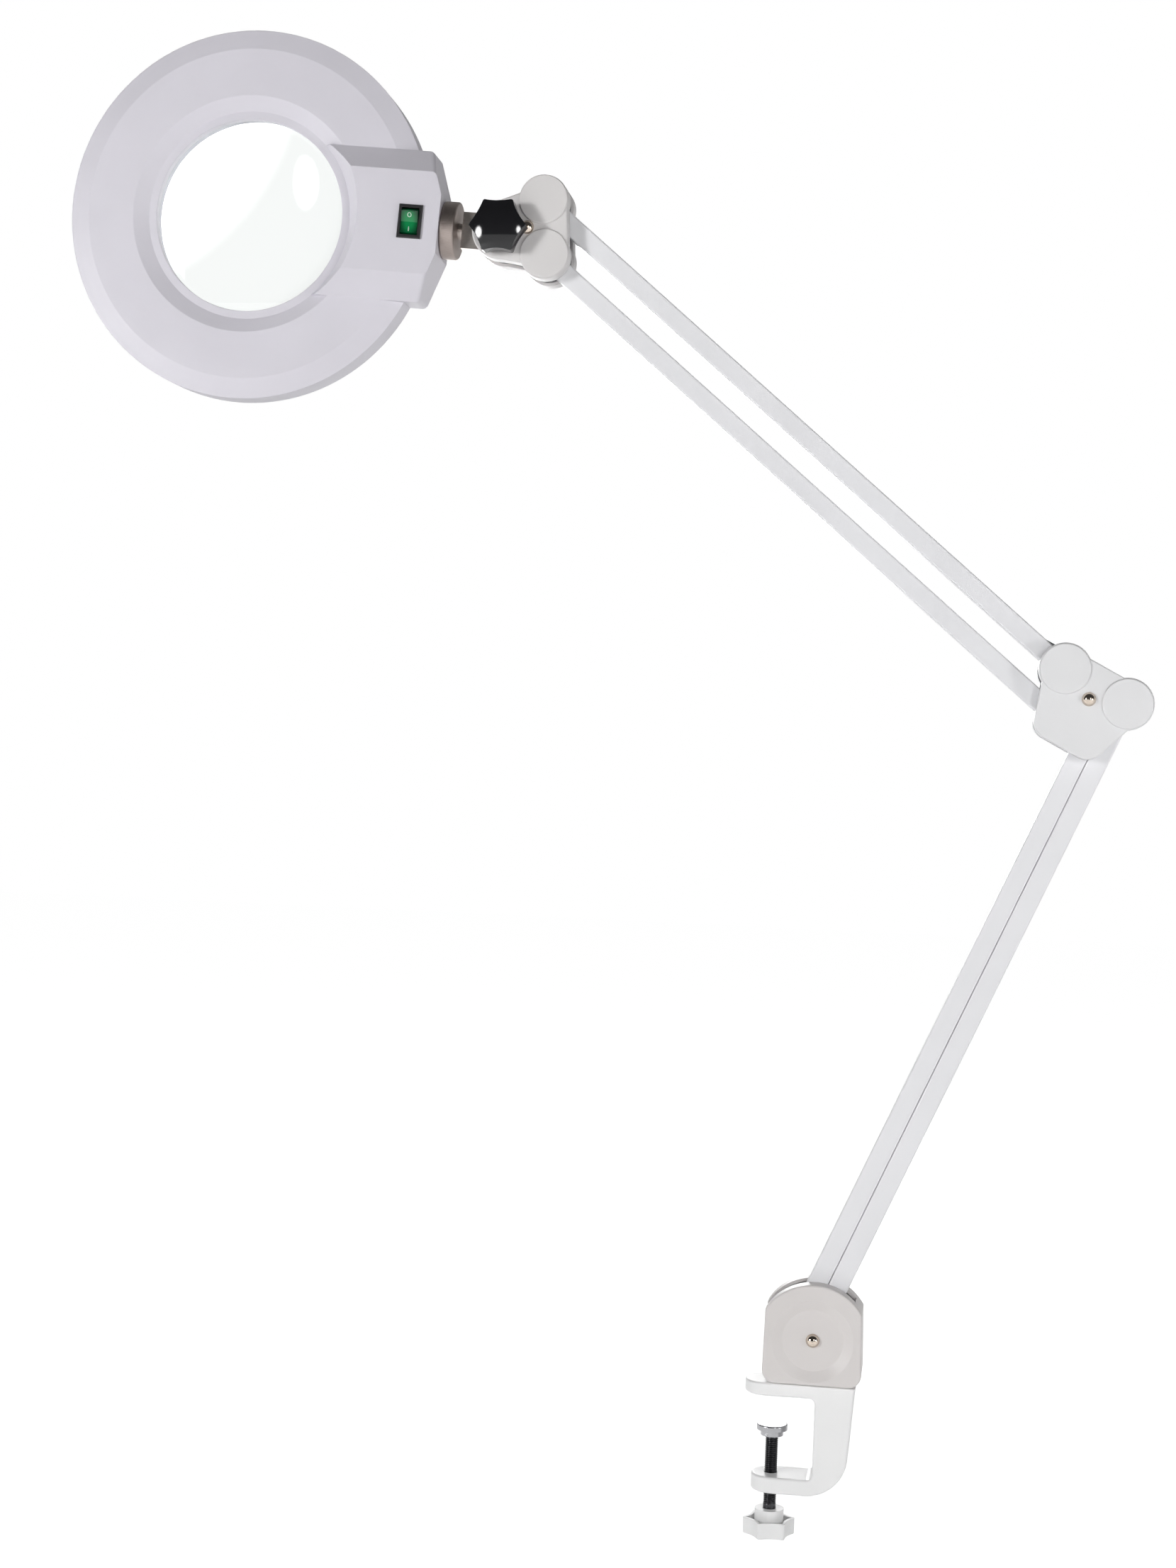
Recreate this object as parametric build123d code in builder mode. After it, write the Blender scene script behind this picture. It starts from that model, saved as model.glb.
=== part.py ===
from build123d import *
from math import asin, atan2, cos, degrees, hypot, pi, radians, sin, sqrt
import os

# Magnifying lamp: a desk clamp, a swivelling base, two parallelogram arms of square tube,
# a tilting knuckle and a round lamp head with a five-inch lens.
#
# Frame: millimetres, +Z up.  The arms move in the XZ plane, Y = 0 is the middle of the square
# tubes, and -Y is the side with the knob and the switch.  The origin is the middle of the face
# that sits on the desk top, the underside of the clamp's upper jaw.

os.makedirs("parts", exist_ok=True)

# ---------------------------------------------------------------- driving dimensions
# Arms
arm_length = 432.0          # pivot to pivot, the same for both arms
lower_lean = 23.7           # lower arm from the vertical, to the right
upper_rise = 40.5           # upper arm above the horizontal, to the left
bar_width = 12.0            # square tube, outside
bar_wall = 1.0
bar_corner = 1.2
bar_inner_corner = 0.3
bar_gap = 0.3               # between the two lower bars, on their stop
lower_stagger = 20.0        # along the arm, between the pivots of the two lower bars
link_spacing = 33.5         # between the pivots of the two upper bars
link_lean = 2.7             # the link line, from the vertical
elbow_span = 42.5           # between the elbow's two upper pivots
elbow_turn = 28.1           # the elbow bracket, from the horizontal

# Bar ends
plug_length = 10.0          # pivot to the shoulder of the end plug
spigot_length = 15.0
spigot_clearance = 0.15     # between spigot and tube, each side
slot_width = 3.2            # for the spring wire

# Pins, fits and layers across the arms
pin_diameter = 6.0
sleeve_diameter = 8.0
running_clearance = 0.05    # radial, on every running shaft
free_clearance = 0.3        # radial or per side, where nothing runs
washer_thickness = 0.5
washer_diameter = 11.0
plate_thickness = 1.5
cover_wall = 2.0
cover_depth = 17.0          # outer face of every cover, from the middle of the tubes
cap_height = 1.2            # how far the round caps stand proud
cap_radius = 15.2

# Springs
spring_pin_diameter = 3.0
spring_pin_reach = 10.0     # from the pivot to the spring's pin
upper_spring_bearing = 60.0     # direction of the pin from the pivot, from +X
lower_spring_bearing = 10.0
spring_diameter = 8.0
spring_wire = 1.6
spring_start = 44.0         # along the bar, from the pivot
spring_length = 96.0
rivet_diameter = 3.0

# Screws on the covers
dome_diameter = 8.6
dome_height = 3.6
cover_screw_diameter = 4.0
standoff_diameter = 7.0

# Base
base_x = 20.0
pivot_above_jaw = 28.0
base_half_width = 29.5
base_top_radius = 34.5
base_corner = 8.0
dish_radius = 25.0
dish_floor_radius = 18.7
dish_depth = 3.0
yoke_plate = 2.0
yoke_floor = 2.5

# Clamp
jaw_thickness = 8.0
jaw_tip = -21.0             # left ends of the two jaws
lower_jaw_tip = -15.5
clamp_gap = 50.0
lower_jaw_thickness = 10.0
clamp_depth = 28.0          # along Y
column_left = 22.5
column_right = 47.0
column_taper = 5.0          # how far the outer side leans in at its foot
clamp_outer_radius = 26.0
stud_x = 34.0               # swivel stud, in the middle of the column
stud_diameter = 12.0
stud_length = 26.0
swivel_washer_thickness = 1.0
screw_x = -3.5
screw_diameter = 8.0
pad_drop = 20.0             # desk gap between the jaw and the pad, as shown
pad_diameter = 19.0
pad_step_diameter = 14.0
pad_disc = 3.5
pad_step = 3.5
pad_pin_diameter = 2.0
screw_below_jaw = 12.5      # bare screw between the lower jaw and the handle
handle_tip_radius = 17.0
handle_valley_radius = 12.8
handle_rim_height = 10.0
handle_wall = 1.9
hub_diameter = 18.0
hub_height = 13.0

# Wrist and knuckle
knuckle_offset = 27.0       # tilt axis, left of the upper bars' pivots
knuckle_drop = 0.6
wrist_nose_radius = 18.5
wrist_shoulder = 22.5
wrist_screw_offset = 10.5
tilt_bolt_diameter = 6.0
lug_radius = 11.4
lug_thickness = 12.0
knob_tip_radius = 18.3
knob_valley_radius = 14.6
knob_height = 13.0
knob_gap = 0.6               # between the knob and the screw head behind it
knob_washer_thickness = 1.2

# Head
head_reach = 167.0          # tilt axis to the middle of the lens
head_tilt = 4.0             # head above the horizontal, as shown
head_radius = 117.0
bevel_width = 12.5
bevel_drop = 3.5
face_depth = 6.0            # flat ring, from the middle of the tubes
seam_depth = -8.0           # joint between the two shells
back_depth = -16.0          # back face
shell_wall = 2.2
dish_edge_radius = 75.0
ledge_radius = 66.0
lens_opening = 61.0
ledge_depth = 1.0
housing_depth = 19.0        # front face of the switch housing
housing_end = 127.5
housing_half_top = 32.0
housing_half_base = 47.5
housing_top_radius = 75.0
housing_corner = 4.0
neck_pad_half = 18.5         # flat middle of the housing's end, behind the flange
end_lean = 0.345            # how fast the end falls back on each side of the flat

# Lens and light
lens_radius = 63.5
lens_edge = 3.0
lens_curve = 348.0
lens_plane = -6.0
gasket_width = 1.8
window_inner = 75.0
window_outer = 103.5
diffuser_thickness = 2.0
board_thickness = 1.6
led_count = 60
led_radius = 89.0

# Switch
switch_x = 109.4
switch_bezel_x = 15.0
switch_bezel_z = 21.0
bezel_height = 1.8
switch_body_x = 13.0
switch_body_z = 19.0
switch_body_depth = 18.0
rocker_x = 10.6
rocker_radius = 8.0
rocker_tilt = 9.0

# Neck
flange_diameter = 36.0
flange_thickness = 9.5
shaft_diameter = 10.0
lug_start = 27.0            # left face of the lug's block, from the tilt axis
neck_nut_diameter = 17.0
neck_nut_height = 7.0


# ---------------------------------------------------------------- placing
def travel(start, length, bearing):
    """The point reached from start, in the arm plane; bearing in degrees from +X towards +Z."""
    return (start[0] + length * cos(radians(bearing)), start[1] + length * sin(radians(bearing)))


def front(point, turn=0.0, depth=0.0):
    """A sketch plane that faces -Y, through a point of the arm plane and turned by an angle."""
    x_dir = (cos(radians(turn)), 0, sin(radians(turn)))
    return Plane(origin=(point[0], -depth, point[1]), x_dir=x_dir, z_dir=(0, -1, 0))


def section(point, turn=0.0):
    """A plane through a piece's own axis along Y: x runs outward, y runs towards -Y."""
    x_dir = (cos(radians(turn)), 0, sin(radians(turn)))
    return Plane(origin=(point[0], 0, point[1]), x_dir=x_dir, z_dir=(x_dir[2], 0, -x_dir[0]))


def across(point, bearing, distance=0.0):
    """A plane square to a direction in the arm plane; its x runs towards -Y."""
    x, z = travel(point, distance, bearing)
    z_dir = (cos(radians(bearing)), 0, sin(radians(bearing)))
    return Plane(origin=(x, 0, z), x_dir=(0, -1, 0), z_dir=z_dir)


def depth_axis(point):
    """The line along Y through a point of the arm plane."""
    return Axis((point[0], 0, point[1]), (0, -1, 0))


def finish(piece, name):
    """Labels a finished piece and writes it."""
    piece.part.label = name
    export_step(piece.part, f"parts/{name}.step")


# Pivots.  The bars of one arm stay parallel, so the brackets keep their attitude.
lower_bearing = 90.0 - lower_lean
upper_bearing = 180.0 - upper_rise
link_bearing = link_lean - 90.0
pair_spacing = bar_width + bar_gap
jaw_top = jaw_thickness
base_pivot = (base_x, jaw_top + pivot_above_jaw)
elbow_pivot = travel(base_pivot, arm_length, lower_bearing)
base_left_pivot = travel(travel(base_pivot, -lower_stagger, lower_bearing), pair_spacing, lower_bearing + 90.0)
elbow_left_pivot = travel(base_left_pivot, arm_length, lower_bearing)
upper_pivot = travel(elbow_pivot, elbow_span, 180.0 - elbow_turn)
wrist_pivot = travel(upper_pivot, arm_length, upper_bearing)
upper_low_pivot = travel(upper_pivot, link_spacing, link_bearing)
wrist_low_pivot = travel(wrist_pivot, link_spacing, link_bearing)
wrist_middle = travel(wrist_pivot, link_spacing / 2, link_bearing)
tilt_pivot = travel(travel(wrist_middle, knuckle_offset, 180.0 + link_lean), knuckle_drop, link_bearing)
elbow_middle = travel(elbow_pivot, elbow_span / 2, 180.0 - elbow_turn)
head_center = travel(tilt_pivot, head_reach, 180.0 - head_tilt)

plate_inner = bar_width / 2 + washer_thickness
plate_outer = plate_inner + plate_thickness
pin_bore = pin_diameter / 2 + running_clearance
face_inside = cover_depth - cover_wall


def cylinder_between(point, radius, near, far):
    """Inside a part: a round solid along Y, from one depth to another."""
    with BuildSketch(front(point, 0, near)) as profile:
        Circle(radius)
    extrude(profile.sketch, amount=far - near)


def bore_between(point, radius, near, far):
    """Inside a part: a round hole along Y, from one depth to another."""
    with BuildSketch(front(point, 0, near)) as profile:
        Circle(radius)
    extrude(profile.sketch, amount=far - near, mode=Mode.SUBTRACT)


# ---------------------------------------------------------------- clamp
clamp_bottom = -clamp_gap - lower_jaw_thickness
half_depth = clamp_depth / 2

with BuildPart() as clamp_frame:
    with BuildSketch(front((0, 0), 0, -half_depth)):
        with BuildLine():
            Polyline(
                (jaw_tip, 0),
                (jaw_tip, jaw_top),
                (column_right, jaw_top),
                (column_right - column_taper, clamp_bottom),
                (lower_jaw_tip, clamp_bottom),
                (lower_jaw_tip, -clamp_gap),
                (column_left, -clamp_gap),
                (column_left, 0),
                close=True,
            )
        make_face()
    extrude(amount=clamp_depth)
    foot_edge = clamp_frame.edges().filter_by(Axis.Y).sort_by(Axis.Z)[0:2].sort_by(Axis.X)[-1]
    fillet(foot_edge, clamp_outer_radius)
    inner_edges = clamp_frame.edges().filter_by(Axis.Y).filter_by_position(Axis.X, column_left - 0.1, column_left + 0.1)
    fillet(inner_edges, 3.5)
    tip_edges = clamp_frame.edges().filter_by(Axis.Z).filter_by_position(Axis.X, jaw_tip - 1, lower_jaw_tip + 1)
    fillet(tip_edges, half_depth - 0.5)
    side_faces = clamp_frame.faces().filter_by(Axis.Y)
    rims = side_faces.sort_by(Axis.Y)[0].edges() + side_faces.sort_by(Axis.Y)[-1].edges()
    fillet(rims, 1.5)
    with BuildSketch(Plane.XY.offset(clamp_bottom)):
        with Locations((screw_x, 0)):
            Circle(screw_diameter / 2 + running_clearance)
    extrude(amount=lower_jaw_thickness, mode=Mode.SUBTRACT)
    with BuildSketch(Plane.XY.offset(jaw_top)):
        with Locations((stud_x, 0)):
            Circle(stud_diameter / 2 + running_clearance)
    extrude(amount=-stud_length - free_clearance, mode=Mode.SUBTRACT)
    bore_between((stud_x, -8.0), 2.5, -half_depth, 0)
finish(clamp_frame, "clamp_frame")

grub_tip = -(stud_diameter / 2 + 0.1)
with BuildPart() as grub_screw:
    cylinder_between((stud_x, -8.0), 2.45, -half_depth + 0.5, grub_tip)
    with BuildSketch(front((stud_x, -8.0), 0, -half_depth + 0.5)):
        RegularPolygon(1.4, 6)
    extrude(amount=3.0, mode=Mode.SUBTRACT)
finish(grub_screw, "grub_screw")

pad_top = -pad_drop
pad_bottom = pad_top - pad_disc - pad_step
screw_top = pad_top - pad_disc + 0.5
hub_top = clamp_bottom - screw_below_jaw
screw_bottom = hub_top - hub_height + 2.0

with BuildPart() as clamp_screw:
    with BuildSketch(Plane.XY.offset(screw_bottom)):
        with Locations((screw_x, 0)):
            Circle(screw_diameter / 2)
    extrude(amount=pad_bottom - 0.2 - screw_bottom)
    with BuildSketch(Plane.XY.offset(pad_bottom - 0.2)):
        with Locations((screw_x, 0)):
            Circle(3.0)
    extrude(amount=screw_top - pad_bottom)
    chamfer(clamp_screw.edges().group_by(Axis.Z)[0], 0.8)
    groove = pad_bottom + 1.6
    with BuildSketch(Plane.XZ):
        with BuildLine():
            Polyline(
                (screw_x + 1.9, groove - 1.1),
                (screw_x + 4, groove - 1.1),
                (screw_x + 4, groove + 1.1),
                (screw_x + 1.9, groove + 1.1),
                close=True,
            )
        make_face()
    revolve(axis=Axis((screw_x, 0, 0), (0, 0, 1)), mode=Mode.SUBTRACT)
finish(clamp_screw, "clamp_screw")

with BuildPart() as clamp_pad:
    with BuildSketch(Plane.XY.offset(pad_bottom)):
        with Locations((screw_x, 0)):
            Circle(pad_step_diameter / 2)
    extrude(amount=pad_step)
    with BuildSketch(Plane.XY.offset(pad_bottom + pad_step)):
        with Locations((screw_x, 0)):
            Circle(pad_diameter / 2)
    extrude(amount=pad_disc)
    fillet(clamp_pad.edges().group_by(Axis.Z)[-1], 0.8)
    with BuildSketch(Plane.XY.offset(pad_bottom)):
        with Locations((screw_x, 0)):
            Circle(3.0 + running_clearance)
    extrude(amount=screw_top - pad_bottom, mode=Mode.SUBTRACT)
    bore_between((screw_x - 2.9, pad_bottom + 1.6), pad_pin_diameter / 2, -half_depth, half_depth)
finish(clamp_pad, "clamp_pad")

pin_half = sqrt((pad_step_diameter / 2) ** 2 - 2.9 ** 2) - 0.4
with BuildPart() as pad_pin:
    cylinder_between((screw_x - 2.9, pad_bottom + 1.6), pad_pin_diameter / 2, -pin_half, pin_half)
finish(pad_pin, "pad_pin")


def star(tip_radius, valley_radius, lobes, tip_round, turn):
    """In a sketch: a star knob's outline with hollow sides and rounded tips."""
    step = 2 * pi / lobes
    with BuildLine() as outline:
        for lobe in range(lobes):
            angle = radians(turn) + lobe * step
            tip = (tip_radius * cos(angle), tip_radius * sin(angle))
            valley = (valley_radius * cos(angle + step / 2), valley_radius * sin(angle + step / 2))
            following = (tip_radius * cos(angle + step), tip_radius * sin(angle + step))
            ThreePointArc(tip, valley, following)
    make_face(outline.edges())


handle_bottom = hub_top - 6.0 - handle_rim_height
handle_plane = Plane(origin=(screw_x, 0, handle_bottom), x_dir=(1, 0, 0), z_dir=(0, 0, 1))
with BuildPart() as clamp_handle:
    with BuildSketch(handle_plane):
        star(handle_tip_radius, handle_valley_radius, 6, 1.5, 10.0)
    extrude(amount=handle_rim_height)
    fillet(clamp_handle.edges().filter_by(Axis.Z), 1.6)
    with BuildSketch(handle_plane.offset(2.5)):
        star(handle_tip_radius - handle_wall * 1.5, handle_valley_radius - handle_wall, 6, 1.5, 10.0)
    extrude(amount=handle_rim_height, mode=Mode.SUBTRACT)
    with BuildSketch(handle_plane):
        Circle(hub_diameter / 2)
    extrude(amount=hub_top - handle_bottom)
    with BuildSketch(Plane(origin=(screw_x, 0, hub_top), x_dir=(1, 0, 0), z_dir=(0, 0, -1))):
        Circle(screw_diameter / 2)
    extrude(amount=hub_top - screw_bottom, mode=Mode.SUBTRACT)
    fillet(clamp_handle.edges().group_by(Axis.Z)[0], 1.0)
finish(clamp_handle, "clamp_handle")

# ---------------------------------------------------------------- base
base_foot = jaw_top + swivel_washer_thickness
floor_top = base_foot + yoke_floor
foot_drop = base_pivot[1] - base_foot
yoke_inner = plate_inner
yoke_outer = yoke_inner + yoke_plate
yoke_width = 2 * base_half_width - 12.0


def base_outline(inset):
    """In a sketch: the D-shaped base cover about its pivot, drawn smaller by inset."""
    shoulder = sqrt(base_top_radius ** 2 - base_half_width ** 2)
    with BuildLine() as outline:
        Polyline(
            (-base_half_width, shoulder),
            (-base_half_width - 1.0, -foot_drop),
            (base_half_width + 1.0, -foot_drop),
            (base_half_width, shoulder),
        )
        ThreePointArc((-base_half_width, shoulder), (0, base_top_radius), (base_half_width, shoulder))
    make_face(outline.edges())
    fillet(vertices().group_by(Axis.Y)[0], base_corner)
    if inset:
        offset(amount=-inset)


def base_slot():
    """In a sketch: the part of the base's outline that the two bars sweep through."""
    with BuildLine() as outline:
        Polyline((60, 62), (22, 20), (22, -20), (-60, -20), (-60, 62), close=True)
    make_face(outline.edges())


def base_cover(side):
    """One of the two base covers; side is 1 for the front one and -1 for the back one."""
    with BuildPart() as cover:
        with BuildSketch(front(base_pivot, 0, 0)):
            base_outline(0)
        extrude(amount=side * cover_depth)
        face = cover.faces().filter_by(Axis.Y).sort_by(Axis.Y)[0 if side > 0 else -1]
        fillet(face.edges(), 1.2)
        with BuildSketch(front(base_pivot, 0, 0)):
            base_outline(cover_wall)
        extrude(amount=side * (cover_depth - dish_depth - cover_wall), mode=Mode.SUBTRACT)
        with BuildSketch(front(base_pivot, 0, side * (cover_depth - dish_depth - cover_wall))):
            base_outline(cover_wall)
            Circle(dish_radius + cover_wall, mode=Mode.SUBTRACT)
        extrude(amount=side * dish_depth, mode=Mode.SUBTRACT)
        with BuildSketch(section(base_pivot)):
            with BuildLine():
                Polyline(
                    (0, side * (cover_depth + 1)),
                    (dish_radius, side * (cover_depth + 1)),
                    (dish_radius, side * cover_depth),
                    (dish_floor_radius, side * (cover_depth - dish_depth)),
                    (0, side * (cover_depth - dish_depth)),
                    close=True,
                )
            make_face()
        revolve(axis=depth_axis(base_pivot), mode=Mode.SUBTRACT)
        with BuildSketch(front(base_pivot, 0, 0)):
            base_slot()
        extrude(amount=side * (yoke_inner + 0.1), mode=Mode.SUBTRACT)
        with BuildSketch(Plane.XY.offset(base_foot)):
            with Locations((base_x, 0)):
                Rectangle(yoke_width + 2 * free_clearance, 2 * (yoke_outer + free_clearance))
        extrude(amount=yoke_floor + free_clearance, mode=Mode.SUBTRACT)
        cylinder_between(base_pivot, 5.5, side * yoke_outer, side * (cover_depth - dish_depth - cover_wall))
        bore_between(base_pivot, cover_screw_diameter / 2 + 0.1, 0, side * cover_depth)
    return cover


base_cover_front = base_cover(1)
finish(base_cover_front, "base_cover_front")
base_cover_back = base_cover(-1)
finish(base_cover_back, "base_cover_back")

spring_pin_base = travel(base_pivot, spring_pin_reach, lower_spring_bearing)
with BuildPart() as base_yoke:
    for side in (1, -1):
        with BuildSketch(front(base_pivot, 0, side * yoke_inner)):
            base_outline(cover_wall + free_clearance + 1.0)
            with Locations((0, -foot_drop)):
                Rectangle(yoke_width, 8.0, align=(Align.CENTER, Align.MIN))
        extrude(amount=side * yoke_plate)
    with BuildSketch(Plane.XY.offset(base_foot)):
        with Locations((base_x, 0)):
            Rectangle(yoke_width, 2 * yoke_outer)
    extrude(amount=yoke_floor)
    with BuildSketch(Plane.XY.offset(base_foot)):
        with Locations((stud_x, 0)):
            Circle(stud_diameter / 2)
    extrude(amount=-stud_length - swivel_washer_thickness)
    chamfer(base_yoke.edges().group_by(Axis.Z)[0], 1.0)
    with BuildSketch(Plane.XZ):
        with Locations((stud_x + stud_diameter / 2, -8.0)):
            Rectangle(2.0, 6.0)
    revolve(axis=Axis((stud_x, 0, 0), (0, 0, 1)), mode=Mode.SUBTRACT)
    bore_between(base_pivot, sleeve_diameter / 2, -cover_depth, cover_depth)
    bore_between(base_left_pivot, pin_diameter / 2, -cover_depth, cover_depth)
    bore_between(spring_pin_base, spring_pin_diameter / 2, -cover_depth, cover_depth)
finish(base_yoke, "base_yoke")

with BuildPart() as swivel_washer:
    with BuildSketch(Plane.XY.offset(jaw_top)):
        with Locations((stud_x, 0)):
            Circle(12.0)
            Circle(stud_diameter / 2 + free_clearance, mode=Mode.SUBTRACT)
    extrude(amount=swivel_washer_thickness)
finish(swivel_washer, "swivel_washer")

with BuildPart() as base_sleeve:
    cylinder_between(base_pivot, sleeve_diameter / 2, -yoke_outer, yoke_outer)
    bore_between(base_pivot, cover_screw_diameter / 2 + 0.1, -yoke_outer, yoke_outer)
finish(base_sleeve, "base_sleeve")

with BuildPart() as base_pins:
    cylinder_between(base_left_pivot, pin_diameter / 2, -yoke_outer - 1, yoke_outer + 1)
    cylinder_between(spring_pin_base, spring_pin_diameter / 2, -yoke_outer - 1, yoke_outer + 1)
finish(base_pins, "base_pins")


def dome_head(point, seat, side=1):
    """Inside a part: a domed screw head on a seat, along Y."""
    ball = (dome_diameter ** 2 / 4 + dome_height ** 2) / (2 * dome_height)
    with BuildSketch(section(point)) as profile:
        with BuildLine():
            Polyline((0, side * (seat + dome_height)), (0, side * seat), (dome_diameter / 2, side * seat))
            middle = radians(degrees(asin(dome_diameter / 2 / ball)) / 2)
            ThreePointArc(
                (dome_diameter / 2, side * seat),
                (ball * sin(middle), side * (seat + dome_height - ball + ball * cos(middle))),
                (0, side * (seat + dome_height)),
            )
        make_face()
    revolve(profile.sketch, axis=depth_axis(point))


dish_seat = cover_depth - dish_depth
nut_height = 4.5
nut_thread = 2.5
with BuildPart() as base_bolt_and_nut:
    with BuildSketch(front(base_pivot, 0, -dish_seat)):
        RegularPolygon(4.0, 6)
    extrude(amount=-nut_height)
    fillet(base_bolt_and_nut.faces().sort_by(Axis.Y)[-1].edges(), 1.0)
    bore_between(
        base_pivot, cover_screw_diameter / 2 + running_clearance, -dish_seat, -dish_seat - nut_thread - free_clearance
    )
    dome_head(base_pivot, dish_seat)
    cylinder_between(base_pivot, cover_screw_diameter / 2, -dish_seat - nut_thread, dish_seat)
finish(base_bolt_and_nut, "base_bolt_and_nut")


def washer_ring(point, hole_radius, side, inner=bar_width / 2, thickness=washer_thickness):
    """Inside a part: a washer between a bar's end and its plate."""
    with BuildSketch(front(point, 0, side * inner)) as profile:
        Circle(washer_diameter / 2)
        Circle(hole_radius, mode=Mode.SUBTRACT)
    extrude(profile.sketch, amount=side * thickness)


with BuildPart() as base_washers:
    for side in (1, -1):
        washer_ring(base_pivot, sleeve_diameter / 2 + running_clearance, side)
        washer_ring(base_left_pivot, pin_bore, side)
finish(base_washers, "base_washers")


# ---------------------------------------------------------------- arm bars
def bar_tube(pivot, bearing, sprung):
    """A square tube between its two end plugs; a sprung one is slotted for the wire."""
    with BuildPart() as tube:
        with BuildSketch(across(pivot, bearing, plug_length)):
            RectangleRounded(bar_width, bar_width, bar_corner)
            RectangleRounded(bar_width - 2 * bar_wall, bar_width - 2 * bar_wall, bar_inner_corner, mode=Mode.SUBTRACT)
        extrude(amount=arm_length - 2 * plug_length)
        if sprung:
            with BuildSketch(front(pivot, bearing, -slot_width / 2)):
                with Locations((plug_length, -bar_width / 2)):
                    Rectangle(20.0, bar_width, align=(Align.MIN, Align.CENTER))
            extrude(amount=slot_width, mode=Mode.SUBTRACT)
            rivet = travel(pivot, spring_start + spring_length, bearing)
            bore_between(rivet, rivet_diameter / 2, -bar_width, 0)
    return tube


def end_plug(pivot, bearing, hole_radius, sprung):
    """Inside a part: the rounded end of a bar with its spigot, about a pivot."""
    inside = bar_width - 2 * bar_wall - 2 * spigot_clearance
    with BuildSketch(front(pivot, bearing, -bar_width / 2)) as profile:
        Circle(bar_width / 2)
        Rectangle(plug_length, bar_width, align=(Align.MIN, Align.CENTER))
    extrude(profile.sketch, amount=bar_width)
    with BuildSketch(front(pivot, bearing, -inside / 2)) as profile:
        with Locations((plug_length, 0)):
            Rectangle(spigot_length, inside, align=(Align.MIN, Align.CENTER))
    extrude(profile.sketch, amount=inside)
    bore_between(pivot, hole_radius, -bar_width, bar_width)
    if sprung:
        with BuildSketch(front(pivot, bearing, -slot_width / 2)) as profile:
            with Locations((-bar_width, -hole_radius - 1.0)):
                Rectangle(bar_width + 18.0, bar_width, align=(Align.MIN, Align.MAX))
            with Locations((18.0, 1.5)):
                Rectangle(spigot_length, bar_width, align=(Align.MIN, Align.MAX))
        extrude(profile.sketch, amount=slot_width, mode=Mode.SUBTRACT)


def bar_plugs(near, far, bearing, near_hole, sprung):
    """Both end plugs of one bar."""
    with BuildPart() as plugs:
        end_plug(near, bearing, near_hole, sprung)
        end_plug(far, bearing + 180.0, pin_bore, False)
    return plugs


sleeve_bore = sleeve_diameter / 2 + running_clearance
lower_bar_right = bar_tube(base_pivot, lower_bearing, True)
finish(lower_bar_right, "lower_bar_right")
lower_bar_right_plugs = bar_plugs(base_pivot, elbow_pivot, lower_bearing, sleeve_bore, True)
finish(lower_bar_right_plugs, "lower_bar_right_plugs")
lower_bar_left = bar_tube(base_left_pivot, lower_bearing, False)
finish(lower_bar_left, "lower_bar_left")
lower_bar_left_plugs = bar_plugs(base_left_pivot, elbow_left_pivot, lower_bearing, pin_bore, False)
finish(lower_bar_left_plugs, "lower_bar_left_plugs")
upper_bar_top = bar_tube(upper_pivot, upper_bearing, True)
finish(upper_bar_top, "upper_bar_top")
upper_bar_top_plugs = bar_plugs(upper_pivot, wrist_pivot, upper_bearing, pin_bore, True)
finish(upper_bar_top_plugs, "upper_bar_top_plugs")
upper_bar_bottom = bar_tube(upper_low_pivot, upper_bearing, False)
finish(upper_bar_bottom, "upper_bar_bottom")
upper_bar_bottom_plugs = bar_plugs(upper_low_pivot, wrist_low_pivot, upper_bearing, pin_bore, False)
finish(upper_bar_bottom_plugs, "upper_bar_bottom_plugs")


def balance_spring(pivot, bearing, pin_bearing):
    """A tension spring inside a bar, with the wire that hooks it to the bracket's pin."""
    anchor = travel(pivot, spring_pin_reach, pin_bearing)
    coil_start = travel(pivot, spring_start, bearing)
    rise = atan2(coil_start[1] - anchor[1], coil_start[0] - anchor[0])
    wire_length = hypot(coil_start[0] - anchor[0], coil_start[1] - anchor[1])
    eye_inner = spring_pin_diameter / 2 + running_clearance
    eye_outer = eye_inner + spring_wire
    with BuildPart() as spring:
        with BuildSketch(across(pivot, bearing, spring_start)):
            Circle(spring_diameter / 2)
        extrude(amount=spring_length - rivet_diameter - 2.0)
        with BuildSketch(across(pivot, bearing, spring_start + 1.5)):
            Circle(spring_diameter / 2 - 1.2)
        extrude(amount=spring_length - rivet_diameter - 5.0, mode=Mode.SUBTRACT)
        with BuildSketch(across(anchor, degrees(rise), (eye_inner + eye_outer) / 2)):
            Circle(spring_wire / 2)
        extrude(amount=wire_length - (eye_inner + eye_outer) / 2 + 0.8)
        with BuildSketch(front(anchor, 0, -spring_wire / 2)):
            Circle(eye_outer)
            Circle(eye_inner, mode=Mode.SUBTRACT)
        extrude(amount=spring_wire)
        tail = travel(pivot, spring_start + spring_length, bearing)
        with BuildSketch(front(tail, bearing, -spring_wire / 2)):
            Circle(rivet_diameter / 2 + 1.6)
            with Locations((-3.4, 0)):
                Rectangle(4.0, 2.4)
            Circle(rivet_diameter / 2 + running_clearance, mode=Mode.SUBTRACT)
        extrude(amount=spring_wire)
    return spring


def spring_rivet(pivot, bearing):
    """The blind rivet, set from the back of the bar, that holds the far end of a spring."""
    with BuildPart() as rivet:
        place = travel(pivot, spring_start + spring_length, bearing)
        cylinder_between(place, rivet_diameter / 2, -bar_width / 2, bar_width / 2 - bar_wall - free_clearance)
    return rivet


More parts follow.
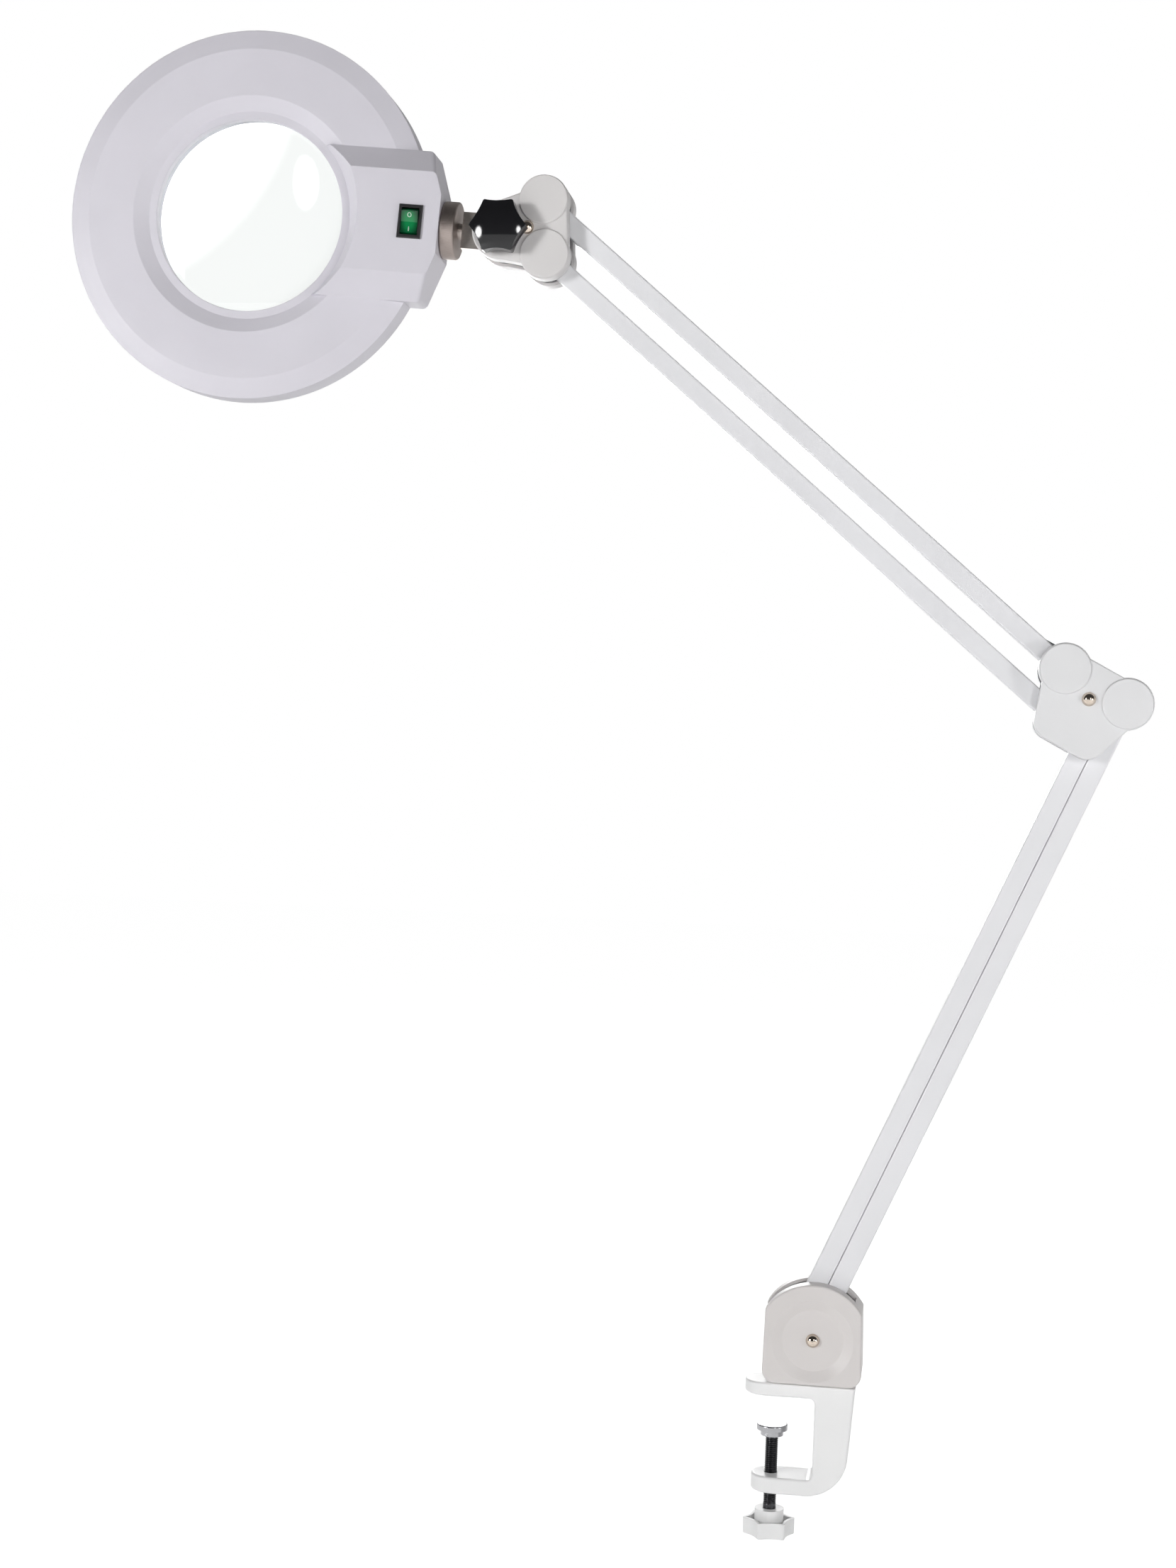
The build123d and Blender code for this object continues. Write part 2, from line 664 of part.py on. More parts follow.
upper_spring = balance_spring(upper_pivot, upper_bearing, upper_spring_bearing)
finish(upper_spring, "upper_spring")
upper_spring_rivet = spring_rivet(upper_pivot, upper_bearing)
finish(upper_spring_rivet, "upper_spring_rivet")
lower_spring = balance_spring(base_pivot, lower_bearing, lower_spring_bearing)
finish(lower_spring, "lower_spring")
lower_spring_rivet = spring_rivet(base_pivot, lower_bearing)
finish(lower_spring_rivet, "lower_spring_rivet")

# ---------------------------------------------------------------- elbow
elbow_plane_turn = -elbow_turn
elbow_screw = travel(elbow_middle, 9.0, elbow_plane_turn - 90.0)
spring_pin_elbow = travel(upper_pivot, spring_pin_reach, upper_spring_bearing)


def elbow_outline(inset):
    """In a sketch: the elbow's outline about its middle, drawn smaller by inset."""
    half = elbow_span / 2
    with BuildLine() as outline:
        Polyline(
            (-half, 12.5),
            (half, 12.5),
            (half + cap_radius - 3.5, -3.0),
            (19.8, -42.3),
            (-19.8, -42.3),
            (-half - cap_radius + 3.5, -3.0),
            close=True,
        )
    make_face(outline.edges())
    fillet(vertices().group_by(Axis.Y)[0], 11.0)
    with Locations((-half, 0), (half, 0)):
        Circle(cap_radius + 0.6)
    if inset:
        offset(amount=-inset)


def bracket_cover(outline, middle, turn, caps, screw, side, opening=None):
    """A shell over one side of a bracket, with round caps over its pivots and a screw boss."""
    with BuildPart() as cover:
        with BuildSketch(front(middle, turn, side * plate_inner)):
            outline(0)
        extrude(amount=side * (cover_depth - plate_inner))
        face = cover.faces().filter_by(Axis.Y).sort_by(Axis.Y)[0 if side > 0 else -1]
        fillet(face.edges(), 1.0)
        with BuildSketch(front(middle, turn, side * plate_inner)):
            outline(cover_wall)
        extrude(amount=side * (face_inside - plate_inner), mode=Mode.SUBTRACT)
        for cap in caps:
            cylinder_between(cap, cap_radius, side * (face_inside + 0.5), side * (cover_depth + cap_height))
        rims = cover.faces().filter_by(Axis.Y).filter_by_position(
            Axis.Y, -side * (cover_depth + cap_height) - 0.01, -side * (cover_depth + cap_height) + 0.01
        )
        fillet(rims.edges(), 0.8)
        cylinder_between(screw, standoff_diameter / 2 + 0.8, side * plate_outer, side * (face_inside + 0.5))
        if side > 0:
            bore_between(screw, cover_screw_diameter / 2 + 0.1, 0, cover_depth)
        else:
            bore_between(screw, cover_screw_diameter / 2, 0, -cover_depth + 3.0)
        if opening:
            bore_between(opening[0], opening[1], 0, side * (cover_depth + 2))
    return cover


elbow_caps = (upper_pivot, elbow_pivot)
elbow_cover_front = bracket_cover(elbow_outline, elbow_middle, elbow_plane_turn, elbow_caps, elbow_screw, 1)
finish(elbow_cover_front, "elbow_cover_front")
elbow_cover_back = bracket_cover(elbow_outline, elbow_middle, elbow_plane_turn, elbow_caps, elbow_screw, -1)
finish(elbow_cover_back, "elbow_cover_back")

elbow_pin_points = (upper_pivot, upper_low_pivot, elbow_pivot, elbow_left_pivot)
with BuildPart() as elbow_plates:
    for side in (1, -1):
        with BuildSketch(front(elbow_middle, elbow_plane_turn, side * plate_inner)):
            elbow_outline(cover_wall + free_clearance)
        extrude(amount=side * plate_thickness)
    for point in elbow_pin_points:
        bore_between(point, pin_diameter / 2, -cover_depth, cover_depth)
    bore_between(spring_pin_elbow, spring_pin_diameter / 2, -cover_depth, cover_depth)
    bore_between(elbow_screw, cover_screw_diameter / 2 + 0.1, -cover_depth, cover_depth)
finish(elbow_plates, "elbow_plates")

pin_end = plate_outer + 1.5
with BuildPart() as elbow_pins:
    for point in elbow_pin_points:
        cylinder_between(point, pin_diameter / 2, -pin_end, pin_end)
    cylinder_between(spring_pin_elbow, spring_pin_diameter / 2, -pin_end, pin_end)
finish(elbow_pins, "elbow_pins")

with BuildPart() as elbow_washers:
    for point in elbow_pin_points:
        for side in (1, -1):
            washer_ring(point, pin_bore, side)
finish(elbow_washers, "elbow_washers")


def standoff(point):
    """The spacer that holds a bracket's two plates apart, around the cover screw."""
    with BuildPart() as spacer:
        cylinder_between(point, standoff_diameter / 2, -plate_inner, plate_inner)
        bore_between(point, cover_screw_diameter / 2 + 0.1, -plate_inner, plate_inner)
    return spacer


def cover_screw(point):
    """The domed screw that holds both covers of a bracket."""
    with BuildPart() as screw:
        dome_head(point, cover_depth)
        cylinder_between(point, cover_screw_diameter / 2, -cover_depth + 3.5, cover_depth)
    return screw


elbow_standoff = standoff(elbow_screw)
finish(elbow_standoff, "elbow_standoff")
elbow_cover_screw = cover_screw(elbow_screw)
finish(elbow_cover_screw, "elbow_cover_screw")

# ---------------------------------------------------------------- wrist
wrist_turn = link_lean
wrist_screw = travel(wrist_middle, wrist_screw_offset, 180.0 + link_lean)


def wrist_outline(inset):
    """In a sketch: the wrist's outline about the middle of its two pivots, smaller by inset."""
    half = link_spacing / 2
    with BuildLine() as outline:
        Polyline(
            (-knuckle_offset, wrist_nose_radius - knuckle_drop),
            (-12.0, wrist_shoulder),
            (0, wrist_shoulder),
            (cap_radius - 0.5, half),
            (cap_radius - 0.5, -half),
            (0, -wrist_shoulder),
            (-12.0, -wrist_shoulder),
            (-knuckle_offset, -wrist_nose_radius - knuckle_drop),
            close=True,
        )
    make_face(outline.edges())
    with Locations((0, half), (0, -half)):
        Circle(cap_radius + 0.3)
    with Locations((-knuckle_offset, -knuckle_drop)):
        Circle(wrist_nose_radius)
    if inset:
        offset(amount=-inset)


wrist_caps = (wrist_pivot, wrist_low_pivot)
spacer_radius = 6.0
wrist_cover_front = bracket_cover(
    wrist_outline,
    wrist_middle,
    wrist_turn,
    wrist_caps,
    wrist_screw,
    1,
    (tilt_pivot, spacer_radius + free_clearance),
)
finish(wrist_cover_front, "wrist_cover_front")
wrist_cover_back = bracket_cover(wrist_outline, wrist_middle, wrist_turn, wrist_caps, wrist_screw, -1)
finish(wrist_cover_back, "wrist_cover_back")

with BuildPart() as wrist_plates:
    for side in (1, -1):
        with BuildSketch(front(wrist_middle, wrist_turn, side * plate_inner)):
            wrist_outline(cover_wall + free_clearance)
        extrude(amount=side * plate_thickness)
    for point in wrist_caps:
        bore_between(point, pin_diameter / 2, -cover_depth, cover_depth)
    bore_between(tilt_pivot, tilt_bolt_diameter / 2, -cover_depth, cover_depth)
    bore_between(wrist_screw, cover_screw_diameter / 2 + 0.1, -cover_depth, cover_depth)
finish(wrist_plates, "wrist_plates")

with BuildPart() as wrist_pins:
    for point in wrist_caps:
        cylinder_between(point, pin_diameter / 2, -pin_end, pin_end)
finish(wrist_pins, "wrist_pins")

with BuildPart() as wrist_washers:
    for point in (wrist_pivot, wrist_low_pivot, tilt_pivot):
        for side in (1, -1):
            washer_ring(point, pin_bore, side)
finish(wrist_washers, "wrist_washers")

wrist_standoff = standoff(wrist_screw)
finish(wrist_standoff, "wrist_standoff")
wrist_cover_screw = cover_screw(wrist_screw)
finish(wrist_cover_screw, "wrist_cover_screw")

# The tilt bolt clamps the two plates on the lug when the knob is turned.
knob_seat = cover_depth + dome_height + knob_gap
spacer_end = knob_seat - knob_washer_thickness
knob_face = knob_seat + knob_height
bolt_end = knob_seat + 8.0
with BuildPart() as tilt_bolt:
    cylinder_between(tilt_pivot, tilt_bolt_diameter / 2, -plate_outer, bolt_end)
    with BuildSketch(front(tilt_pivot, 0, -plate_outer)):
        RegularPolygon(5.5, 6)
    extrude(amount=-4.0)
finish(tilt_bolt, "tilt_bolt")

with BuildPart() as tilt_spacer:
    cylinder_between(tilt_pivot, spacer_radius, plate_outer, spacer_end)
    bore_between(tilt_pivot, tilt_bolt_diameter / 2 + running_clearance, plate_outer, spacer_end)
finish(tilt_spacer, "tilt_spacer")

with BuildPart() as knob_washer:
    cylinder_between(tilt_pivot, 7.0, spacer_end, knob_seat)
    bore_between(tilt_pivot, tilt_bolt_diameter / 2 + running_clearance, spacer_end, knob_seat)
finish(knob_washer, "knob_washer")

insert_radius = 5.0
insert_depth = 9.5
with BuildPart() as knob_insert:
    cylinder_between(tilt_pivot, insert_radius, knob_seat, knob_seat + insert_depth)
    bore_between(tilt_pivot, tilt_bolt_diameter / 2 + running_clearance, knob_seat, knob_seat + insert_depth - 0.4)
finish(knob_insert, "knob_insert")

dome_fall = 4.5
dome_ball = (knob_tip_radius ** 2 + dome_fall ** 2) / (2 * dome_fall)
with BuildPart() as tilt_knob:
    with BuildSketch(front(tilt_pivot, 0, knob_seat)):
        star(knob_tip_radius, knob_valley_radius, 6, 1.2, 0.0)
    extrude(amount=knob_height)
    fillet(tilt_knob.edges().filter_by(Axis.Y), 1.2)
    with BuildSketch(section(tilt_pivot)):
        with BuildLine():
            reach = knob_tip_radius + 3.0
            edge_fall = dome_ball - sqrt(dome_ball ** 2 - reach ** 2)
            half_fall = dome_ball - sqrt(dome_ball ** 2 - (reach / 2) ** 2)
            Polyline((0, knob_seat), (reach, knob_seat), (reach, knob_face - edge_fall))
            ThreePointArc((reach, knob_face - edge_fall), (reach / 2, knob_face - half_fall), (0, knob_face))
            Line((0, knob_face), (0, knob_seat))
        make_face()
    revolve(axis=depth_axis(tilt_pivot), mode=Mode.INTERSECT)
    bore_between(tilt_pivot, insert_radius, knob_seat, knob_seat + insert_depth)
finish(tilt_knob, "tilt_knob")

# ---------------------------------------------------------------- neck
neck_bearing = 180.0 - head_tilt
head_turn = -head_tilt
flange_start = head_reach - housing_end
flange_end = flange_start - flange_thickness
shaft_end = flange_start + shell_wall + 0.5 + neck_nut_height + 0.3
block_height = 2 * lug_radius

with BuildPart() as knuckle_lug:
    with BuildSketch(front(tilt_pivot, neck_bearing, -lug_thickness / 2)):
        Circle(lug_radius)
        Rectangle(lug_start, block_height, align=(Align.MIN, Align.CENTER))
    extrude(amount=lug_thickness)
    with BuildSketch(across(tilt_pivot, neck_bearing, lug_start)):
        Circle(shaft_diameter / 2)
    extrude(amount=shaft_end - lug_start)
    bore_between(tilt_pivot, tilt_bolt_diameter / 2 + running_clearance, -lug_thickness, lug_thickness)
finish(knuckle_lug, "knuckle_lug")

with BuildPart() as neck_flange:
    with BuildSketch(across(tilt_pivot, neck_bearing, flange_end)):
        Circle(flange_diameter / 2)
        Circle(shaft_diameter / 2 + running_clearance, mode=Mode.SUBTRACT)
    extrude(amount=flange_thickness)
    rim_edges = neck_flange.edges().filter_by(GeomType.CIRCLE).sort_by(SortBy.RADIUS)[-2:]
    fillet(rim_edges, 1.2)
finish(neck_flange, "neck_flange")

nut_start = flange_start + shell_wall + 0.5
with BuildPart() as neck_nut:
    with BuildSketch(across(tilt_pivot, neck_bearing, nut_start)):
        RegularPolygon(neck_nut_diameter / 2, 6)
        Circle(shaft_diameter / 2, mode=Mode.SUBTRACT)
    extrude(amount=neck_nut_height)
finish(neck_nut, "neck_nut")


# ---------------------------------------------------------------- head shells
def head_plane(depth):
    """A sketch plane on the head: x runs to the neck, the normal runs to the switch side."""
    return front(head_center, head_turn, depth)


def head_point(x, z):
    """A point of the arm plane from the head's own coordinates."""
    along = travel(head_center, x, head_turn)
    return travel(along, z, head_turn + 90.0)


head_axis = depth_axis(head_center)
side_front = face_depth - bevel_drop


def ring(points):
    """Inside a part: a solid of revolution about the head's axis."""
    with BuildSketch(section(head_center, head_turn)) as profile:
        with BuildLine():
            Polyline(*points, close=True)
        make_face()
    revolve(profile.sketch, axis=head_axis)


def ring_cut(points):
    """Inside a part: a cut of revolution about the head's axis."""
    with BuildSketch(section(head_center, head_turn)) as profile:
        with BuildLine():
            Polyline(*points, close=True)
        make_face()
    revolve(profile.sketch, axis=head_axis, mode=Mode.SUBTRACT)


housing_start = 45.0


def housing_outline(end, half, corner):
    """In a sketch: the housing seen from the switch side, with a flat end for the flange that
    falls back on both sides; end is where the flat is and half is half the housing's width."""
    shoulder = end - (half - neck_pad_half) * end_lean
    with BuildLine() as outline:
        Polyline(
            (housing_start, -half),
            (shoulder, -half),
            (end, -neck_pad_half),
            (end, neck_pad_half),
            (shoulder, half),
            (housing_start, half),
            close=True,
        )
    make_face(outline.edges())
    fillet(vertices().filter_by_position(Axis.X, shoulder - 0.01, shoulder + 0.01), corner)


def housing_box(inset, low, high):
    """Inside a part: the straight body of the housing, past the head's rim."""
    with BuildSketch(head_plane(low)) as profile:
        housing_outline(housing_end - inset, housing_half_base - inset, housing_corner - min(inset, housing_corner - 1.0))
    extrude(profile.sketch, amount=high - low)


def housing_slopes(inset, low, high):
    """Inside a part: the housing's sloping front, narrowing from its base to its top."""
    slope = (housing_half_base - housing_half_top) / (housing_depth - face_depth)
    top_half = housing_half_top - inset * 0.6
    base_half = top_half + (high - low) * slope
    corner = housing_corner - min(inset, housing_corner - 1.0)
    with BuildSketch(head_plane(low)) as foot:
        housing_outline(housing_end - inset, base_half, corner)
    with BuildSketch(head_plane(high)) as top:
        housing_outline(housing_end - inset, top_half, corner)
    loft([foot.sketch, top.sketch])


screw_ring = head_radius - shell_wall - 4.2
screw_bearings = [50.0 + index * 52.0 for index in range(6)]
screw_points = [head_point(screw_ring * cos(radians(a)), screw_ring * sin(radians(a))) for a in screw_bearings]
screw_points += [head_point(housing_end - 13.0, z) for z in (-housing_half_base + 9.0, housing_half_base - 9.0)]
boss_radius = 3.2
roof = face_depth - shell_wall

cavity_inner = ledge_radius + 2.0
ledge_under = ledge_depth - shell_wall
slope_run = (housing_top_radius - ledge_radius) / (housing_depth - ledge_depth)
cone_top = 24.0

with BuildPart() as housing_core:
    housing_box(shell_wall, back_depth + shell_wall, roof)
    housing_slopes(shell_wall, roof, housing_depth - shell_wall)
    ring_cut(
        (
            (0, back_depth),
            (cavity_inner, back_depth),
            (cavity_inner, ledge_under),
            (cavity_inner + slope_run * cone_top, ledge_under + cone_top),
            (0, ledge_under + cone_top),
        )
    )

gasket_lip = 0.8
lip_depth = lens_plane + lens_edge / 2 + gasket_lip
seat_depth = lens_plane - lens_edge / 2 - gasket_lip
pilot_radius = 1.3

with BuildPart() as head_top_shell:
    ring(
        (
            (lens_opening, ledge_depth),
            (lens_opening, lip_depth),
            (lens_opening + 2.0, lip_depth),
            (lens_opening + 2.0, seam_depth),
            (head_radius, seam_depth),
            (head_radius, side_front),
            (head_radius - bevel_width, face_depth),
            (dish_edge_radius, face_depth),
            (ledge_radius, ledge_depth),
        )
    )
    housing_box(0, seam_depth, face_depth)
    housing_slopes(0, face_depth, housing_depth)
    ring_cut(
        (
            (0, ledge_depth),
            (ledge_radius, ledge_depth),
            (ledge_radius + slope_run * cone_top, ledge_depth + cone_top),
            (0, ledge_depth + cone_top),
        )
    )
    ring_cut(((0, seam_depth - 1), (lens_opening, seam_depth - 1), (lens_opening, ledge_depth + 1), (0, ledge_depth + 1)))
    ring_cut(
        (
            (lens_opening - 1.0, seam_depth - 1),
            (lens_opening - 1.0, lip_depth),
            (lens_opening + 2.0, lip_depth),
            (lens_opening + 2.0, ledge_under),
            (cavity_inner, ledge_under),
            (dish_edge_radius + 1.0, roof),
            (head_radius - bevel_width - 0.5, roof),
            (head_radius - shell_wall, side_front - 1.8),
            (head_radius - shell_wall, seam_depth - 1),
        )
    )
    add(housing_core.part, mode=Mode.SUBTRACT)
    for point in screw_points[:6]:
        cylinder_between(point, boss_radius, seam_depth, side_front + 0.5)
    for point in screw_points[6:]:
        cylinder_between(point, boss_radius, seam_depth, face_depth + 2.0)
    for point in screw_points:
        bore_between(point, pilot_radius, seam_depth - 1, seam_depth + 8.0)
    with BuildSketch(head_plane(housing_depth + 1)):
        with Locations((switch_x, 0)):
            Rectangle(switch_body_x + 0.2, switch_body_z + 0.2)
    extrude(amount=-shell_wall - 4, mode=Mode.SUBTRACT)
    with BuildSketch(across(tilt_pivot, neck_bearing, flange_start - 1)):
        Circle(shaft_diameter / 2 + free_clearance)
    extrude(amount=shell_wall + 3, mode=Mode.SUBTRACT)
finish(head_top_shell, "head_top_shell")

floor_depth = back_depth + shell_wall
board_seat = -9.0
board_inner = window_inner - 3.0
board_outer = window_outer + 3.0
rib_bearings = (3.0, 93.0, 183.0, 273.0)
inlet_point = head_point(113.5, -29.0)
inlet_nose = 4.0
post_points = (head_point(113.0, 14.0), head_point(113.0, 30.0))
driver_seat = floor_depth + 1.8

with BuildPart() as head_bottom_shell:
    ring(
        (
            (lens_opening, back_depth),
            (window_inner, back_depth),
            (window_inner, floor_depth),
            (board_inner + 1.5, floor_depth),
            (board_inner + 1.5, board_seat),
            (board_inner, board_seat),
            (board_inner, floor_depth),
            (cavity_inner - 0.5, floor_depth),
            (cavity_inner - 0.5, lens_plane),
            (cavity_inner - 2.3, lens_plane),
            (cavity_inner - 2.3, seat_depth),
            (lens_opening + 2.0, seat_depth),
            (lens_opening + 2.0, floor_depth),
            (lens_opening, floor_depth),
        )
    )
    ring(
        (
            (window_outer, back_depth),
            (head_radius, back_depth),
            (head_radius, seam_depth),
            (head_radius - shell_wall, seam_depth),
            (head_radius - shell_wall, floor_depth),
            (board_outer, floor_depth),
            (board_outer, board_seat),
            (board_outer - 1.5, board_seat),
            (board_outer - 1.5, floor_depth),
            (window_outer, floor_depth),
        )
    )
    for bearing in rib_bearings:
        with BuildSketch(head_plane(floor_depth + diffuser_thickness)):
            with Locations(Location((0, 0), bearing)):
                with Locations((board_inner + 1.0, 0)):
                    Rectangle(board_outer - board_inner - 2.0, 1.6, align=(Align.MIN, Align.CENTER))
        extrude(amount=board_seat - floor_depth - diffuser_thickness)
    with BuildSketch(head_plane(back_depth)):
        housing_outline(housing_end, housing_half_base, housing_corner)
        Circle(head_radius - shell_wall, mode=Mode.SUBTRACT)
    extrude(amount=seam_depth - back_depth)
    with BuildSketch(head_plane(floor_depth)):
        housing_outline(housing_end - shell_wall, housing_half_base - shell_wall, housing_corner - shell_wall)
        Circle(board_outer, mode=Mode.SUBTRACT)
    extrude(amount=seam_depth - floor_depth, mode=Mode.SUBTRACT)
    for point in screw_points:
        cylinder_between(point, boss_radius, back_depth, seam_depth)
        bore_between(point, 1.6, back_depth, seam_depth)
        bore_between(point, 2.9, back_depth, back_depth + 2.4)
    for point in post_points:
        cylinder_between(point, 2.0, back_depth, driver_seat)
    bore_between(inlet_point, inlet_nose + 0.05, back_depth - 1, floor_depth + 1)
    with BuildSketch(across(tilt_pivot, neck_bearing, flange_start - 1)):
        Circle(shaft_diameter / 2 + free_clearance)
    extrude(amount=shell_wall + 3, mode=Mode.SUBTRACT)
finish(head_bottom_shell, "head_bottom_shell")

with BuildPart() as head_screws:
    for point in screw_points:
        cylinder_between(point, pilot_radius, back_depth + 2.4, seam_depth + 7.0)
        cylinder_between(point, 2.75, back_depth + 0.4, back_depth + 2.4)
        bore_between(point, 0.9, back_depth + 0.4, back_depth + 1.6)
finish(head_screws, "head_screws")

# ---------------------------------------------------------------- lens and light
sag = lens_curve - sqrt(lens_curve ** 2 - lens_radius ** 2)
half_sag = lens_curve - sqrt(lens_curve ** 2 - (lens_radius / 2) ** 2)
lens_front = lens_plane + lens_edge / 2 + sag
lens_back = lens_plane - lens_edge / 2 - sag
with BuildPart() as lens:
    with BuildSketch(section(head_center, head_turn)):
        with BuildLine():
            ThreePointArc(
                (0, lens_front), (lens_radius / 2, lens_front - half_sag), (lens_radius, lens_plane + lens_edge / 2)
            )
            Line((lens_radius, lens_plane + lens_edge / 2), (lens_radius, lens_plane - lens_edge / 2))
            ThreePointArc(
                (lens_radius, lens_plane - lens_edge / 2), (lens_radius / 2, lens_back + half_sag), (0, lens_back)
            )
            Line((0, lens_back), (0, lens_front))
        make_face()
    revolve(axis=head_axis)
finish(lens, "lens")

with BuildPart() as lens_gasket:
    ring(
        (
            (lens_opening + 0.4, seat_depth),
            (lens_radius + gasket_width, seat_depth),
            (lens_radius + gasket_width, lip_depth),
            (lens_opening + 0.4, lip_depth),
        )
    )
    add(lens.part, mode=Mode.SUBTRACT)
finish(lens_gasket, "lens_gasket")

with BuildPart() as diffuser_ring:
    ring(
        (
            (board_inner + 1.6, floor_depth),
            (board_outer - 1.6, floor_depth),
            (board_outer - 1.6, floor_depth + diffuser_thickness),
            (board_inner + 1.6, floor_depth + diffuser_thickness),
        )
    )
finish(diffuser_ring, "diffuser_ring")

with BuildPart() as led_board:
    ring(
        (
            (board_inner, board_seat),
            (board_outer, board_seat),
            (board_outer, board_seat + board_thickness),
            (board_inner, board_seat + board_thickness),
        )
    )
finish(led_board, "led_board")

with BuildPart() as leds:
    with BuildSketch(head_plane(board_seat)):
        with PolarLocations(led_radius, led_count):
            Rectangle(2.8, 3.5)
    extrude(amount=-1.2)
finish(leds, "leds")

board_middle = head_point(113.0, 22.0)
with BuildPart() as driver_board:
    with BuildSketch(front(board_middle, head_turn, driver_seat)):
        Rectangle(12.0, 22.0)
    extrude(amount=board_thickness)
    with BuildSketch(front(board_middle, head_turn, driver_seat + board_thickness)):
        with Locations((0, 6.0)):
            Circle(4.0)
        with Locations((0, -5.5)):
            Rectangle(9.0, 8.0)
    extrude(amount=7.0)
finish(driver_board, "driver_board")

with BuildPart() as dc_inlet:
    cylinder_between(inlet_point, inlet_nose, back_depth, floor_depth)
    cylinder_between(inlet_point, inlet_nose + 1.0, floor_depth, floor_depth + 9.0)
    bore_between(inlet_point, 2.9, back_depth, back_depth + 8.5)
    cylinder_between(inlet_point, 1.0, back_depth + 0.6, back_depth + 8.5)
finish(dc_inlet, "dc_inlet")

# ---------------------------------------------------------------- switch
pivot_rise = housing_depth - 1.7
cavity_x = rocker_x + 0.6
cavity_z = 2 * rocker_radius + 0.8
with BuildPart() as switch_body:
    with BuildSketch(head_plane(housing_depth)):
        with Locations((switch_x, 0)):
            Rectangle(switch_bezel_x, switch_bezel_z)
    extrude(amount=bezel_height)
    chamfer(switch_body.faces().sort_by(Axis.Y)[0].edges(), 0.6)
    with BuildSketch(head_plane(housing_depth)):
        with Locations((switch_x, 0)):
            Rectangle(switch_body_x, switch_body_z)
    extrude(amount=-switch_body_depth)
    with BuildSketch(head_plane(housing_depth + bezel_height)):
        with Locations((switch_x, 0)):
            Rectangle(cavity_x, cavity_z)
    extrude(amount=-bezel_height - 11.0, mode=Mode.SUBTRACT)
    pivot_plane = Plane(
        origin=across(head_point(switch_x, 0), head_turn).origin - Vector(0, pivot_rise, 0),
        x_dir=(0, -1, 0),
        z_dir=across(head_point(switch_x, 0), head_turn).z_dir,
    )
    with BuildSketch(pivot_plane.offset(-rocker_x / 2 - 0.9)):
        Circle(1.1)
    extrude(amount=rocker_x + 1.8, mode=Mode.SUBTRACT)
finish(switch_body, "switch_body")

valley = 3.6
facet_rise = rocker_radius * sin(radians(rocker_tilt)) / cos(radians(rocker_tilt))
tilted_x = pivot_plane.x_dir.rotate(Axis((0, 0, 0), pivot_plane.z_dir), rocker_tilt)
rocker_plane = Plane(origin=pivot_plane.origin, x_dir=tilted_x, z_dir=pivot_plane.z_dir)
with BuildPart() as switch_rocker:
    with BuildSketch(rocker_plane.offset(-rocker_x / 2)):
        Circle(rocker_radius)
        with BuildLine():
            Polyline(
                (valley, 0),
                (valley + facet_rise, rocker_radius),
                (2 * rocker_radius, rocker_radius),
                (2 * rocker_radius, -rocker_radius),
                (valley + facet_rise, -rocker_radius),
                close=True,
            )
        make_face(mode=Mode.SUBTRACT)
        with Locations((-3.0, 0)):
            Rectangle(rocker_radius, 2 * rocker_radius, align=(Align.MAX, Align.CENTER), mode=Mode.SUBTRACT)
    extrude(amount=rocker_x)
    with BuildSketch(pivot_plane.offset(-rocker_x / 2 - 0.7)):
        Circle(1.0)
    extrude(amount=rocker_x + 1.4)
finish(switch_rocker, "switch_rocker")
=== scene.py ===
import math
import bpy
import numpy as np
from mathutils import Matrix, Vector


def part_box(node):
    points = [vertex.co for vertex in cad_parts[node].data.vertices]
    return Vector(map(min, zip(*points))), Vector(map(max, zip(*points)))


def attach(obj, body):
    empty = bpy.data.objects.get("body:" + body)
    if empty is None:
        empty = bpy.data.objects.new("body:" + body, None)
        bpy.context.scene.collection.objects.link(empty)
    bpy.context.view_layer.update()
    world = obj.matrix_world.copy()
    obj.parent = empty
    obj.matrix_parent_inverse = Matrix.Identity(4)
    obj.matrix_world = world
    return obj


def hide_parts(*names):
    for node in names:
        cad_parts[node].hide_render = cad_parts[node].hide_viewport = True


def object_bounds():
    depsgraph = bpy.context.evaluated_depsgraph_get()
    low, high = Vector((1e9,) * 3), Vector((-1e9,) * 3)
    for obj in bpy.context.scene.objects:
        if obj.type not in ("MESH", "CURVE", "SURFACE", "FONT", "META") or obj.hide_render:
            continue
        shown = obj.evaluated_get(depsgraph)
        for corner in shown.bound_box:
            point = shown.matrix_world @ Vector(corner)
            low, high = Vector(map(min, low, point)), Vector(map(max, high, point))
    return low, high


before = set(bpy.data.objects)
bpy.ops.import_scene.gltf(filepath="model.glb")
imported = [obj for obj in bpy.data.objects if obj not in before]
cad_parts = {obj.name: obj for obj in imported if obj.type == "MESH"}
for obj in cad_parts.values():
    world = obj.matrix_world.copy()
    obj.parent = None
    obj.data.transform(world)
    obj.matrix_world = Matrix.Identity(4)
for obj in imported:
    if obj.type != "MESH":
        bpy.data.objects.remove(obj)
cad_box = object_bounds()

# ---------------------------------------------------------------- camera, floor and light
# A camera level with the lamp's middle, a little to the right of the arms' plane and turned
# two degrees. A pale floor under the clamp, a pale room, and three soft boxes.
image_width, image_height = 1659, 2212
long_side = 0.036                       # sensor, metres
focal_ratio = 3400 / image_height       # focal length over the long side
azimuth, elevation, roll = map(math.radians, (8.25, 0.57, 2.11))
screw_distance = 1.469                  # from the lens to the base's screw
screw_right, screw_down = 0.0930, 0.2320   # where the screw is seen, as tangents from the middle

